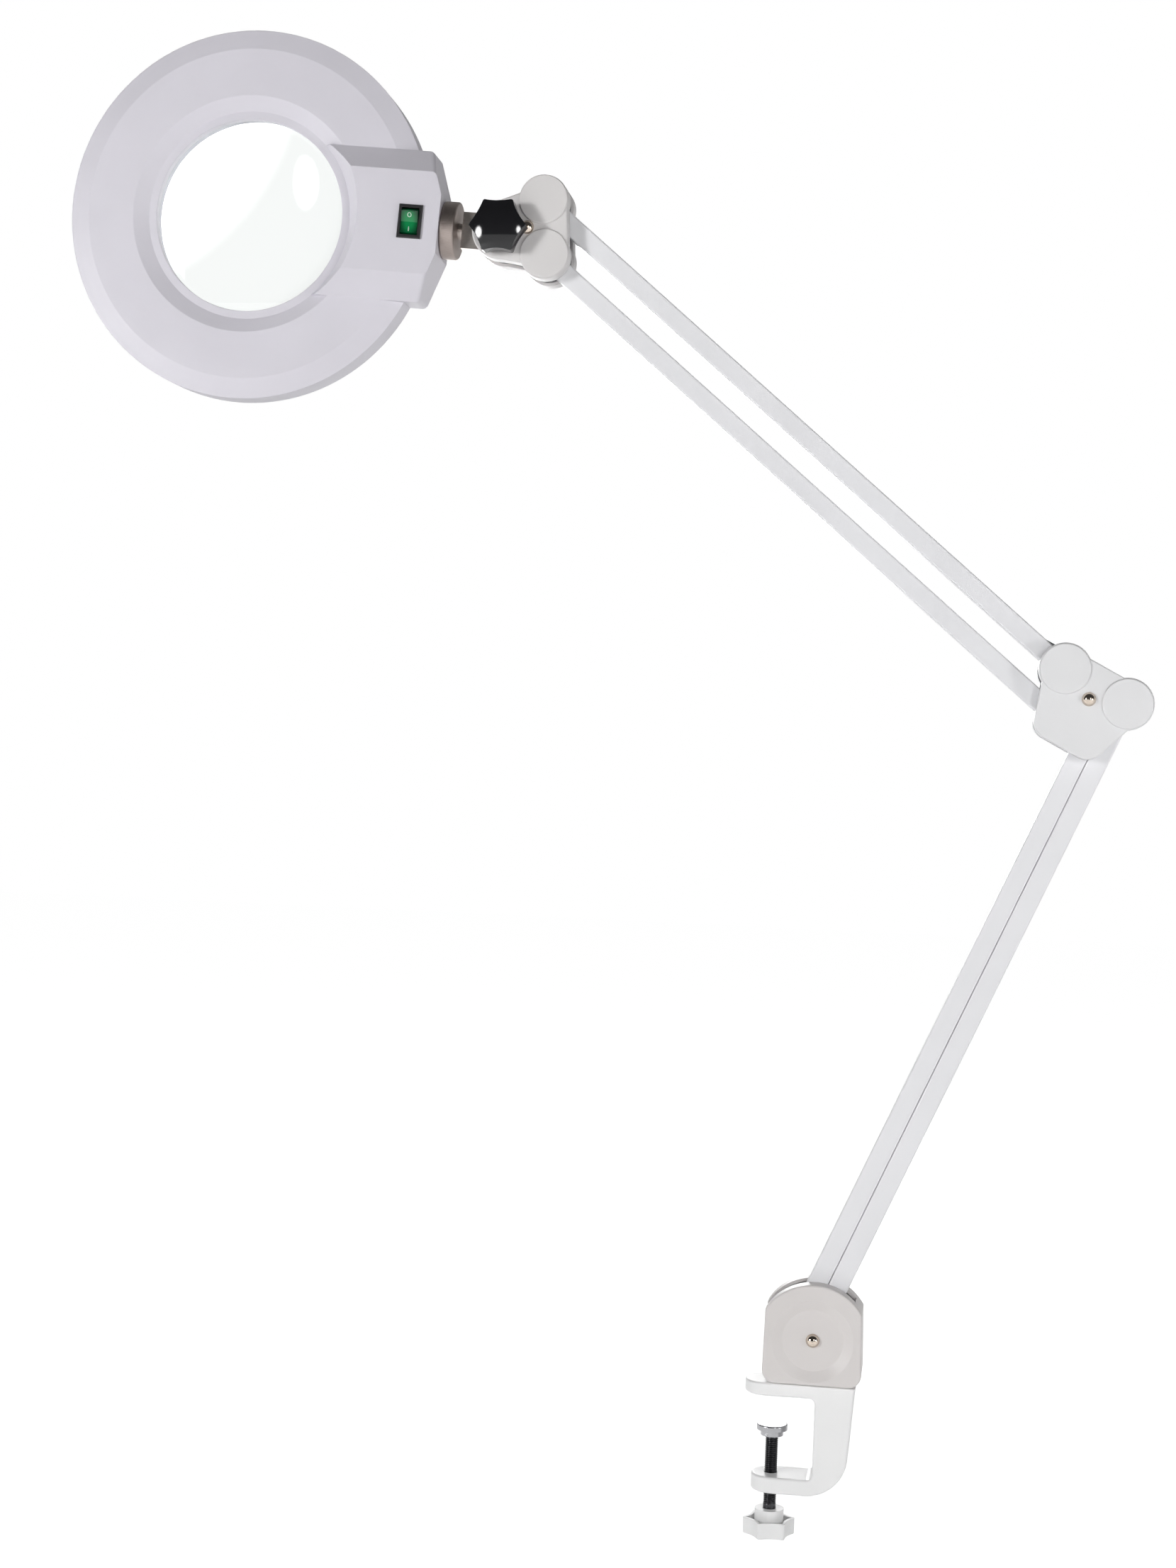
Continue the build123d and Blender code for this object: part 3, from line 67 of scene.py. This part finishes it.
screw_low, screw_high = map(np.array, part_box("base_bolt_and_nut"))
screw_face = np.array([(screw_low[0] + screw_high[0]) / 2, -0.020, (screw_low[2] + screw_high[2]) / 2])
backward = np.array([
    math.sin(azimuth) * math.cos(elevation),
    -math.cos(azimuth) * math.cos(elevation),
    math.sin(elevation),
])
level_right = np.cross(-backward, (0, 0, 1.0))
level_right /= np.linalg.norm(level_right)
level_up = np.cross(level_right, -backward)
right = level_right * math.cos(roll) + level_up * math.sin(roll)
up = level_up * math.cos(roll) - level_right * math.sin(roll)
seat = screw_face - screw_distance * (right * screw_right - up * screw_down - backward)

camera = bpy.data.objects.new("camera", bpy.data.cameras.new("camera"))
bpy.context.scene.collection.objects.link(camera)
camera.data.sensor_width = long_side * 1000
camera.data.lens = focal_ratio * long_side * 1000
camera.data.clip_start, camera.data.clip_end = 0.05, 50
turn = np.eye(4)
turn[:3, :3] = np.stack([right, up, backward], axis=1)
turn[:3, 3] = seat
camera.matrix_world = Matrix(turn.tolist())
bpy.context.scene.camera = camera
bpy.context.scene.view_settings.view_transform = "Standard"


def screen(red, green, blue):
    """The linear colour of three screen values between 0 and 1, by the sRGB curve, with opacity 1."""
    values = np.array([red, green, blue], float)
    linear = np.where(values <= 0.04045, values / 12.92, ((values + 0.055) / 1.055) ** 2.4)
    return (*linear.tolist(), 1.0)


class Wire:
    """One output of a shader graph. Arithmetic on it adds Math nodes, and node() adds any other."""

    def __init__(self, tree, socket=None):
        self.tree, self.socket = tree, socket

    def node(self, kind, settings=None, values=None, output=0):
        """Adds a node. settings are its own properties, or a ramp's stops; values go to its sockets."""
        made = self.tree.nodes.new(kind)
        for name, value in (settings or {}).items():
            if name == "stops":
                ramp = made.color_ramp.elements
                while len(ramp) < len(value):
                    ramp.new(0.5)
                for stop, (place, tone) in zip(ramp, value):
                    stop.position, stop.color = place, tone
            else:
                setattr(made, name, value)
        for name, value in (values or {}).items():
            if isinstance(value, Wire):
                self.tree.links.new(value.socket, made.inputs[name])
            else:
                made.inputs[name].default_value = value
        return Wire(self.tree, made.outputs[output])

    def maths(self, operation, *operands):
        return self.node("ShaderNodeMath", {"operation": operation}, dict(enumerate(operands)))

    def __add__(self, other):
        return self.maths("ADD", self, other)

    def __radd__(self, other):
        return self.maths("ADD", other, self)

    def __sub__(self, other):
        return self.maths("SUBTRACT", self, other)

    def __rsub__(self, other):
        return self.maths("SUBTRACT", other, self)

    def __mul__(self, other):
        return self.maths("MULTIPLY", self, other)

    def __rmul__(self, other):
        return self.maths("MULTIPLY", other, self)

    def __truediv__(self, other):
        return self.maths("DIVIDE", self, other)

    def __pow__(self, other):
        return self.maths("POWER", self, other)

    def within(self, low, high):
        """0 below low, 1 above high, smooth between."""
        return self.node(
            "ShaderNodeMapRange",
            {"interpolation_type": "SMOOTHSTEP"},
            {"Value": self, "From Min": low, "From Max": high},
        )

    def blend(self, first, second):
        """The colour between two, by this factor."""
        return self.node("ShaderNodeMix", {"data_type": "RGBA"}, {0: self, 6: first, 7: second}, output=2)

    def feed(self, shader, socket):
        """Links this to a shader's socket."""
        self.tree.links.new(self.socket, shader.inputs[socket])


def new_finish(name, **constants):
    """An empty material: its one shader with constant sockets set, and a wire to start the graph from."""
    finish = bpy.data.materials.new(name)
    finish.use_nodes = True
    shader = finish.node_tree.nodes["Principled BSDF"]
    for socket, value in constants.items():
        shader.inputs[socket.replace("_", " ")].default_value = value
    return finish, shader, Wire(finish.node_tree)


world = bpy.data.worlds.new("pale_room")
bpy.context.scene.world = world
world.use_nodes = True
room = Wire(world.node_tree)
to_eye = room.node("ShaderNodeLightPath", output="Is Camera Ray")
through_glass = room.node("ShaderNodeLightPath", output="Is Transmission Ray")
in_gloss = room.node("ShaderNodeLightPath", output="Is Glossy Ray")
heading = room.node("ShaderNodeTexCoord", output="Generated")
towards_back = room.node("ShaderNodeSeparateXYZ", {}, {"Vector": heading}, output="Y").within(-0.35, 0.55)
overhead = room.node("ShaderNodeSeparateXYZ", {}, {"Vector": heading}, output="Z").within(-0.2, 0.45)
seen = to_eye.maths("MAXIMUM", to_eye, through_glass)
front_light, back_light, front_gloss, back_gloss = 0.285, 0.66, 0.15, 0.95
lit = (front_light + towards_back * (back_light - front_light)) * (1 - overhead * 0.85)
glossed = (front_gloss + towards_back * (back_gloss - front_gloss)) * (1 - overhead * 0.6)
strength = seen + (1 - seen) * (lit + in_gloss * (glossed - lit))
background = world.node_tree.nodes["Background"]
background.inputs["Color"].default_value = (1, 1, 1, 1)
strength.feed(background, "Strength")

screw_drop = 0.022                      # how far the clamp screw can still be let down
floor_level = cad_box[0][2] - screw_drop - 0.001
floor_half = 6.0
floor_mesh = bpy.data.meshes.new("floor")
floor_mesh.from_pydata(
    [(x, y, floor_level) for x, y in ((-floor_half, -floor_half), (floor_half, -floor_half), (floor_half, floor_half), (-floor_half, floor_half))],
    [],
    [(0, 1, 2, 3)],
)
floor = bpy.data.objects.new("floor", floor_mesh)
bpy.context.scene.collection.objects.link(floor)
floor_finish, floor_shader, start = new_finish("floor", Roughness=0.9, Specular_IOR_Level=0.0)
floor_shader.inputs["Base Color"].default_value = screen(0.93, 0.93, 0.93)
floor_shader.inputs["Emission Color"].default_value = (1, 1, 1, 1)
eye = start.node("ShaderNodeLightPath", output="Is Camera Ray")
eye = eye.maths("MAXIMUM", eye, start.node("ShaderNodeLightPath", output="Is Transmission Ray"))
eye = eye.maths("MAXIMUM", eye, start.node("ShaderNodeLightPath", output="Is Glossy Ray"))
floor_glow, glow_strength = 0.5, 1.92
glow = start.node("ShaderNodeEmission", {}, {"Color": (1, 1, 1, 1), "Strength": glow_strength})
mixed = start.node("ShaderNodeMixShader", {}, {0: eye * floor_glow, 1: Wire(start.tree, floor_shader.outputs[0]), 2: glow})
mixed.feed(floor_finish.node_tree.nodes["Material Output"], "Surface")
floor_mesh.materials.append(floor_finish)
floor.visible_shadow = False          # so that the low soft box reaches the lamp

lamp_middle = (np.array(cad_box[0]) + np.array(cad_box[1])) / 2


def soft_box(name, place, width, height, power):
    """An area light of this width and height, aimed at the lamp's middle, that fades out smoothly
    from its centre to its edges, as cloth in front of a lamp does."""
    light = bpy.data.lights.new(name, "AREA")
    light.shape, light.size, light.size_y, light.energy = "RECTANGLE", width, height, power
    light.use_nodes = True
    cloth = Wire(light.node_tree)
    across = cloth.node("ShaderNodeNewGeometry", output="Parametric")
    centred = cloth.node("ShaderNodeVectorMath", {"operation": "SUBTRACT"}, {0: across, 1: (0.5, 0.5, 0.0)})
    reach = cloth.node("ShaderNodeVectorMath", {"operation": "LENGTH"}, {0: centred}, output="Value")
    ((1 - reach.within(0.15, 0.5)) * 2.6).feed(light.node_tree.nodes["Emission"], "Strength")
    box = bpy.data.objects.new(name, light)
    bpy.context.scene.collection.objects.link(box)
    away = np.array(place) - lamp_middle
    away = away / np.linalg.norm(away)
    side = np.cross((0, 0, 1.0), away)
    side /= np.linalg.norm(side)
    matrix = np.eye(4)
    matrix[:3, :3] = np.stack([side, np.cross(away, side), away], axis=1)
    matrix[:3, 3] = place
    box.matrix_world = Matrix(matrix.tolist())
    return box


soft_box("left_box", (-1.76, -1.66, 0.66), 0.6, 0.9, 30.0)
soft_box("right_box", (0.98, -2.02, 0.80), 0.4, 0.7, 11.0)
soft_box("side_box", (1.80, -1.15, 0.40), 0.4, 0.8, 12.0)
soft_box("low_box", (-0.35, -1.50, -1.05), 1.0, 0.5, 8.0)
soft_box("back_box", (-0.5, 2.1, 0.8), 1.2, 1.2, 18.0)

# ---------------------------------------------------------------- clamp casting
# A C-shaped zinc casting with a bright white powder coat. The stud of the base turns in a
# blind hole in its column, and a grub screw from the side keeps it in.


def dress(finish, *names):
    """Gives a finish to every material slot of these CAD nodes."""
    for name in names:
        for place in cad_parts[name].material_slots:
            place.material = finish


def coated(name, tone, roughness, grain, relief, drift=0.012, edge=0.0005):
    """Powder coat or fine moulding: an orange-peel relief of a given grain in peaks per metre, a slow
    drift of tone and gloss, and rounded edges that carry a painted highlight, a little lighter in colour."""
    finish, shader, start = new_finish(name, Coat_Roughness=0.25)
    place = start.node("ShaderNodeTexCoord", output="Object")
    peel = start.node("ShaderNodeTexNoise", {}, {"Vector": place, "Scale": grain, "Detail": 4.0})
    slow = start.node("ShaderNodeTexNoise", {}, {"Vector": place, "Scale": 17.0, "Detail": 3.0})
    fleck = start.node("ShaderNodeTexNoise", {}, {"Vector": place, "Scale": grain * 3.1, "Detail": 2.0})
    rounded = start.node("ShaderNodeBevel", {"samples": 4}, {"Radius": edge})
    flat = start.node("ShaderNodeNewGeometry", output="True Normal")
    # painted highlight: the colour is made a little lighter along the rounded edges
    edge_highlight = (1 - start.node("ShaderNodeVectorMath", {"operation": "DOT_PRODUCT"}, {0: rounded, 1: flat}, output="Value")).within(0.02, 0.25)
    darker = screen(*[c * (1 - drift) for c in tone])
    lighter = screen(*[min(1.0, c * (1 + drift * 0.5)) for c in tone])
    edge_highlight_tone = screen(*[min(1.0, c * 1.05) for c in tone])
    body = slow.within(0.3, 0.7).blend(darker, lighter)
    edge_highlight.maths("MULTIPLY", edge_highlight, 0.6).blend(body, edge_highlight_tone).feed(shader, "Base Color")
    (roughness + (slow - 0.5) * 0.06 + (fleck - 0.5) * 0.08).feed(shader, "Roughness")
    start.node("ShaderNodeBump", {}, {"Height": peel + fleck * 0.4, "Distance": relief, "Strength": 0.5, "Normal": rounded}).feed(shader, "Normal")
    return finish


dress(coated("white_cast", (0.945, 0.945, 0.945), 0.34, 900.0, 0.00010, edge=0.0008), "clamp_frame")

# ---------------------------------------------------------------- steel pieces
# Turned and pressed steel: the pad, its pin, rivets, pins and nuts are bright zinc or nickel
# plate, brushed in fine lines where they were turned; screws in the clamp are blackened.


def metal(name, tone, roughness, grain, relief, along=(1.0, 1.0, 1.0), drift=0.06, edge=0.0003):
    """Bare or plated metal: fine lines drawn out along one axis, a slow drift of tone, rounded edges."""
    finish, shader, start = new_finish(name, Metallic=1.0)
    place = start.node("ShaderNodeTexCoord", output="Object")
    drawn = start.node("ShaderNodeMapping", {}, {"Vector": place, "Scale": along})
    lines = start.node("ShaderNodeTexNoise", {}, {"Vector": drawn, "Scale": grain, "Detail": 3.0})
    slow = start.node("ShaderNodeTexNoise", {}, {"Vector": place, "Scale": 60.0, "Detail": 3.0})
    rounded = start.node("ShaderNodeBevel", {"samples": 4}, {"Radius": edge})
    darker, lighter = screen(*[c * (1 - drift) for c in tone]), screen(*[min(1.0, c * (1 + drift)) for c in tone])
    (slow * 0.6 + lines * 0.4).within(0.3, 0.7).blend(darker, lighter).feed(shader, "Base Color")
    (roughness + (lines - 0.5) * 0.16 + (slow - 0.5) * 0.10).feed(shader, "Roughness")
    start.node("ShaderNodeBump", {}, {"Height": lines, "Distance": relief, "Strength": 0.4, "Normal": rounded}).feed(shader, "Normal")
    return finish


black_steel = metal("black_steel", (0.27, 0.27, 0.28), 0.26, 2500.0, 0.00002)
zinc = metal("zinc_steel", (0.72, 0.72, 0.73), 0.30, 3000.0, 0.00002)
nickel = metal("satin_nickel", (0.80, 0.77, 0.75), 0.34, 2600.0, 0.00003, along=(0.15, 1.0, 1.0))
flange_metal = metal("flange_metal", (0.60, 0.56, 0.54), 0.44, 2200.0, 0.00003, along=(0.2, 1.0, 1.0))
pad_steel = metal("pad_steel", (0.66, 0.66, 0.67), 0.27, 2600.0, 0.00002, along=(1.0, 1.0, 3.0))
chrome = metal("chrome", (0.80, 0.75, 0.70), 0.05, 900.0, 0.000004)
brass = metal("brass", (0.80, 0.66, 0.36), 0.26, 2600.0, 0.00002)
spring_steel = metal("spring_steel", (0.50, 0.50, 0.52), 0.28, 3000.0, 0.00002)
dress(black_steel, "grub_screw", "clamp_screw")
dress(pad_steel, "clamp_pad")
dress(zinc, "pad_pin", "base_sleeve", "base_pins", "base_washers", "base_yoke", "lower_spring_rivet", "upper_spring_rivet",
      "elbow_plates", "elbow_pins", "elbow_washers", "elbow_standoff", "wrist_plates", "wrist_pins", "wrist_washers",
      "wrist_standoff", "tilt_bolt", "tilt_spacer", "knob_washer", "neck_nut", "head_screws")
dress(nickel, "knuckle_lug")
dress(flange_metal, "neck_flange")
dress(chrome, "base_bolt_and_nut", "elbow_cover_screw", "wrist_cover_screw")
dress(brass, "knob_insert")
dress(spring_steel, "lower_spring", "upper_spring")

# ---------------------------------------------------------------- clamp screw
# A blackened M8 screw, rolled with a 1.25 mm pitch. A plain collar is left below the thread
# where the handle is moulded on, and a plain nose turns in the pad.
thread_pitch = 0.00125
thread_depth = 0.00065
around, per_turn = 72, 10
screw_low, screw_high = map(np.array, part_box("clamp_screw"))
handle_low, handle_high = map(np.array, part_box("clamp_handle"))
pad_low, pad_high = map(np.array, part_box("clamp_pad"))
screw_x = (screw_low[0] + screw_high[0]) / 2
thread_start, thread_end = handle_high[2] + 0.0028, pad_low[2] - 0.0006
shank_radius, nose_radius = 0.004, 0.003


def skin(name, rings, finish, body, smooth_angle=40.0):
    """A closed piece through rings of points (rows, columns, 3): quads join each ring to the next,
    and a fan to the middle of the first and of the last ring closes the ends."""
    rows, columns, _ = rings.shape
    points = np.concatenate([rings.reshape(-1, 3), rings[0].mean(0)[None], rings[-1].mean(0)[None]])
    row, column = np.meshgrid(np.arange(rows - 1), np.arange(columns), indexing="ij")
    beside = (column + 1) % columns
    quads = np.stack([row * columns + column, row * columns + beside, (row + 1) * columns + beside, (row + 1) * columns + column], -1)
    here, there = np.arange(columns), (np.arange(columns) + 1) % columns
    first, last = rows * columns, rows * columns + 1
    under = np.stack([there, here, np.full(columns, first)], -1)
    over = np.stack([here + (rows - 1) * columns, there + (rows - 1) * columns, np.full(columns, last)], -1)
    mesh = bpy.data.meshes.new(name)
    mesh.from_pydata(points.tolist(), [], quads.reshape(-1, 4).tolist() + under.tolist() + over.tolist())
    mesh.shade_smooth()
    mesh.set_sharp_from_angle(angle=math.radians(smooth_angle))
    mesh.materials.append(finish)
    piece = bpy.data.objects.new(name, mesh)
    bpy.context.scene.collection.objects.link(piece)
    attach(piece, body)
    return piece


levels = np.concatenate([
    [screw_low[2], screw_low[2] + 0.0008],
    np.arange(thread_start - thread_pitch, thread_end + thread_pitch, thread_pitch / per_turn),
    [pad_low[2] - 0.0001, pad_low[2], screw_high[2] - 0.0003, screw_high[2]],
])
angles = np.linspace(0, 2 * math.pi, around, endpoint=False)
level, angle = np.meshgrid(levels, angles, indexing="ij")
phase = (level / thread_pitch - angle / (2 * math.pi)) % 1.0
tooth = np.clip(2.4 * np.abs(phase - 0.5) - 0.1, 0, 1)
run = np.clip((level - thread_start) / thread_pitch, 0, 1) * np.clip((thread_end - level) / thread_pitch, 0, 1)
radius = shank_radius - 0.00002 - thread_depth * tooth * run
radius = np.where(level >= pad_low[2] - 0.00005, nose_radius - 0.00005, radius)
radius = np.where((level <= screw_low[2]) | (level >= screw_high[2]), radius - 0.0003, radius)
thread_rings = np.stack([screw_x + radius * np.cos(angle), radius * np.sin(angle), level], -1)
thread = skin("clamp_screw_thread", thread_rings, black_steel, "clamp_screw")
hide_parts("clamp_screw")

# ---------------------------------------------------------------- handle, bars and covers
# The handle is a satin white moulding. The bars are square steel tube with a cool white coat,
# and the covers over the joints are white mouldings with a fine texture.
dress(coated("handle_plastic", (0.93, 0.93, 0.93), 0.36, 700.0, 0.00006, edge=0.0006), "clamp_handle")
dress(coated("white_tube", (0.915, 0.915, 0.925), 0.36, 900.0, 0.00003, edge=0.0004),
      "lower_bar_right", "lower_bar_left", "upper_bar_top", "upper_bar_bottom")
dress(coated("white_cover", (0.895, 0.895, 0.90), 0.42, 1300.0, 0.00008, edge=0.0006),
      "elbow_cover_front", "elbow_cover_back")
# painted shade: the base and wrist covers are the same white moulding as the elbow covers, given darker, warmer
# tones
dress(coated("shaded_base_cover", (0.855, 0.838, 0.832), 0.40, 1300.0, 0.00006, edge=0.0006), "base_cover_front", "base_cover_back")
dress(coated("wrist_cover", (0.855, 0.845, 0.843), 0.40, 1300.0, 0.00006, edge=0.0006), "wrist_cover_front", "wrist_cover_back")
dress(coated("plug_plastic", (0.80, 0.80, 0.80), 0.5, 900.0, 0.00008),
      "lower_bar_right_plugs", "lower_bar_left_plugs", "upper_bar_top_plugs", "upper_bar_bottom_plugs")
dress(coated("nylon", (0.88, 0.87, 0.82), 0.45, 700.0, 0.00006), "swivel_washer")

# ---------------------------------------------------------------- tilt knob
# A glossy black moulded star knob with a threaded brass insert.
dress(coated("black_plastic", (0.085, 0.085, 0.095), 0.07, 300.0, 0.00001, edge=0.0008), "tilt_knob")

# ---------------------------------------------------------------- head
# Two injection-moulded shells in a cool light grey-white with a fine spark texture.
head_plastic = coated("head_plastic", (0.835, 0.825, 0.855), 0.46, 1700.0, 0.00007, edge=0.0007)
dress(head_plastic, "head_top_shell", "head_bottom_shell")
dress(coated("gasket_rubber", (0.80, 0.80, 0.81), 0.5, 900.0, 0.0001), "lens_gasket")
dress(coated("board_white", (0.88, 0.88, 0.86), 0.35, 1200.0, 0.00004), "led_board")
dress(coated("board_green", (0.10, 0.34, 0.18), 0.35, 1200.0, 0.00004), "driver_board")
dress(coated("switch_black", (0.12, 0.12, 0.125), 0.36, 1500.0, 0.00006, edge=0.0004), "switch_body", "dc_inlet")

# ---------------------------------------------------------------- lens, diffuser and light-emitting diodes
# The lens is ground optical glass, three dioptres. Light goes straight through it in shadows.
glass, shader, start = new_finish("glass", Transmission_Weight=1.0, IOR=1.5, Metallic=0.0)
shader.inputs["Base Color"].default_value = screen(0.985, 0.995, 0.99)
place = start.node("ShaderNodeTexCoord", output="Object")
smear = start.node("ShaderNodeTexNoise", {}, {"Vector": place, "Scale": 45.0, "Detail": 4.0})
(smear.within(0.55, 0.85) * 0.02).feed(shader, "Roughness")
shadow = start.node("ShaderNodeLightPath", output="Is Shadow Ray")
clear = start.node("ShaderNodeBsdfTransparent", {}, {"Color": (0.95, 0.96, 0.955, 1)})
start.node("ShaderNodeMixShader", {}, {0: shadow, 1: Wire(start.tree, shader.outputs[0]), 2: clear}).feed(glass.node_tree.nodes["Material Output"], "Surface")

lens_low, lens_high = map(np.array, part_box("lens"))
lens_middle = (lens_low + lens_high) / 2
lens_half = (lens_high[2] - lens_low[2]) / 2
lens_curve, lens_edge = 0.348, 0.003     # radius of both faces, and thickness at the rim
reach = lens_half * np.sin(np.linspace(0.01, math.pi / 2, 40))
bulge = np.sqrt(lens_curve ** 2 - reach ** 2) - math.sqrt(lens_curve ** 2 - lens_half ** 2)
lens_reach = np.concatenate([reach, reach[::-1]])
lens_depth = np.concatenate([-lens_edge / 2 - bulge, (lens_edge / 2 + bulge)[::-1]])
reach_grid, turn_grid = np.meshgrid(lens_reach, np.linspace(0, 2 * math.pi, 160, endpoint=False), indexing="ij")
lens_rings = np.stack([
    lens_middle[0] + reach_grid * np.cos(turn_grid),
    lens_middle[1] - np.repeat(lens_depth[:, None], 160, 1),
    lens_middle[2] + reach_grid * np.sin(turn_grid),
], -1)
ground_lens = skin("ground_lens", lens_rings, glass, "head")
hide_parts("lens")

diffuser, shader, start = new_finish("diffuser", Transmission_Weight=0.35, Roughness=0.5, IOR=1.49)
place = start.node("ShaderNodeTexCoord", output="Object")
prism = start.node("ShaderNodeTexVoronoi", {}, {"Vector": place, "Scale": 420.0})
start.node("ShaderNodeTexNoise", {}, {"Vector": place, "Scale": 30.0}).within(0.3, 0.7).blend(screen(0.93, 0.93, 0.93), screen(0.97, 0.97, 0.97)).feed(shader, "Base Color")
start.node("ShaderNodeBump", {}, {"Height": prism, "Distance": 0.0002, "Strength": 0.4}).feed(shader, "Normal")
dress(diffuser, "diffuser_ring")

led, shader, start = new_finish("led", Roughness=0.2)
place = start.node("ShaderNodeTexCoord", output="Object")
start.node("ShaderNodeTexNoise", {}, {"Vector": place, "Scale": 900.0}).within(0.3, 0.7).blend(screen(0.93, 0.85, 0.35), screen(0.97, 0.93, 0.60)).feed(shader, "Base Color")
dress(led, "leds")

# ---------------------------------------------------------------- switch rocker
# A translucent green rocker, lit a little from inside, with a ring printed above and a bar below.
green, shader, start = new_finish("switch_green", Roughness=0.18, Transmission_Weight=0.15, Emission_Strength=0.12)
rocker_low, rocker_high = map(np.array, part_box("switch_rocker"))
rocker_middle = (rocker_low + rocker_high) / 2
place = start.node("ShaderNodeTexCoord", output="Object")
centred = start.node("ShaderNodeMapping", {}, {"Vector": place, "Location": tuple((-rocker_middle).tolist())})
spread = start.node("ShaderNodeVectorMath", {"operation": "MULTIPLY"}, {0: centred, 1: (150.0, 0.0, 95.0)})
edge = start.node("ShaderNodeVectorMath", {"operation": "LENGTH"}, {0: spread}, output="Value").within(0.25, 0.95)
tint = edge.blend(screen(0.05, 0.50, 0.28), screen(0.0, 0.22, 0.12))
tint.feed(shader, "Base Color")
tint.feed(shader, "Emission Color")
start.node("ShaderNodeBump", {}, {"Height": start.node("ShaderNodeTexNoise", {}, {"Vector": place, "Scale": 800.0}), "Distance": 0.00003, "Strength": 0.3}).feed(shader, "Normal")
dress(green, "switch_rocker")

printed = coated("printed_mark", (0.80, 0.88, 0.82), 0.4, 1500.0, 0.00001)
tilted = math.radians(4.0)               # the head, above the horizontal
rocked = math.radians(9.0)               # the rocker, and half the angle between its two facets
head_x = np.array([math.cos(tilted), 0, -math.sin(tilted)])
head_z = np.array([math.sin(tilted), 0, math.cos(tilted)])
front = np.array([0, -1.0, 0])
out = math.cos(rocked) * front - math.sin(rocked) * head_z
down = -math.sin(rocked) * front - math.cos(rocked) * head_z
switch_low, switch_high = map(np.array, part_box("switch_body"))
pivot = np.array([(switch_low[0] + switch_high[0]) / 2, -0.0173, (switch_low[2] + switch_high[2]) / 2])
ridge = pivot + 0.0036 * out
facets = {
    "above": (math.sin(rocked) * out - math.cos(rocked) * down, math.cos(rocked) * out + math.sin(rocked) * down),
    "below": (math.sin(rocked) * out + math.cos(rocked) * down, math.cos(rocked) * out - math.sin(rocked) * down),
}


def printed_loop(name, facet, half_width, half_height, pen, proud):
    """A closed loop of ink on a facet: an ellipse of the two halves, carrying a small oval section of
    the pen's radius that stands proud of the facet by a given height."""
    upward, normal = facets[facet]
    middle = ridge + upward * 0.0043
    turn, girth = np.meshgrid(np.linspace(0, 2 * math.pi, 48, endpoint=False), np.linspace(0, 2 * math.pi, 10, endpoint=False), indexing="ij")
    reach = pen * np.cos(girth)
    across = (half_width + reach) * np.cos(turn)
    height = (half_height + reach) * np.sin(turn)
    points = middle + across[..., None] * head_x + height[..., None] * upward + (proud * np.sin(girth))[..., None] * normal
    index = np.arange(48 * 10).reshape(48, 10)
    ahead, beside = np.roll(index, -1, 0), np.roll(index, -1, 1)
    quads = np.stack([index, ahead, np.roll(ahead, -1, 1), beside], -1).reshape(-1, 4)
    mesh = bpy.data.meshes.new(name)
    mesh.from_pydata(points.reshape(-1, 3).tolist(), [], quads.tolist())
    flip = np.dot(np.cross(head_x, upward), normal) < 0
    if flip:
        mesh.flip_normals()
    mesh.shade_smooth()
    mesh.materials.append(printed)
    piece = bpy.data.objects.new(name, mesh)
    bpy.context.scene.collection.objects.link(piece)
    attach(piece, "rocker")


printed_loop("rocker_mark_off", "above", 0.0011, 0.0013, 0.00026, 0.00010)
printed_loop("rocker_mark_on", "below", 0.00020, 0.0014, 0.00018, 0.00010)
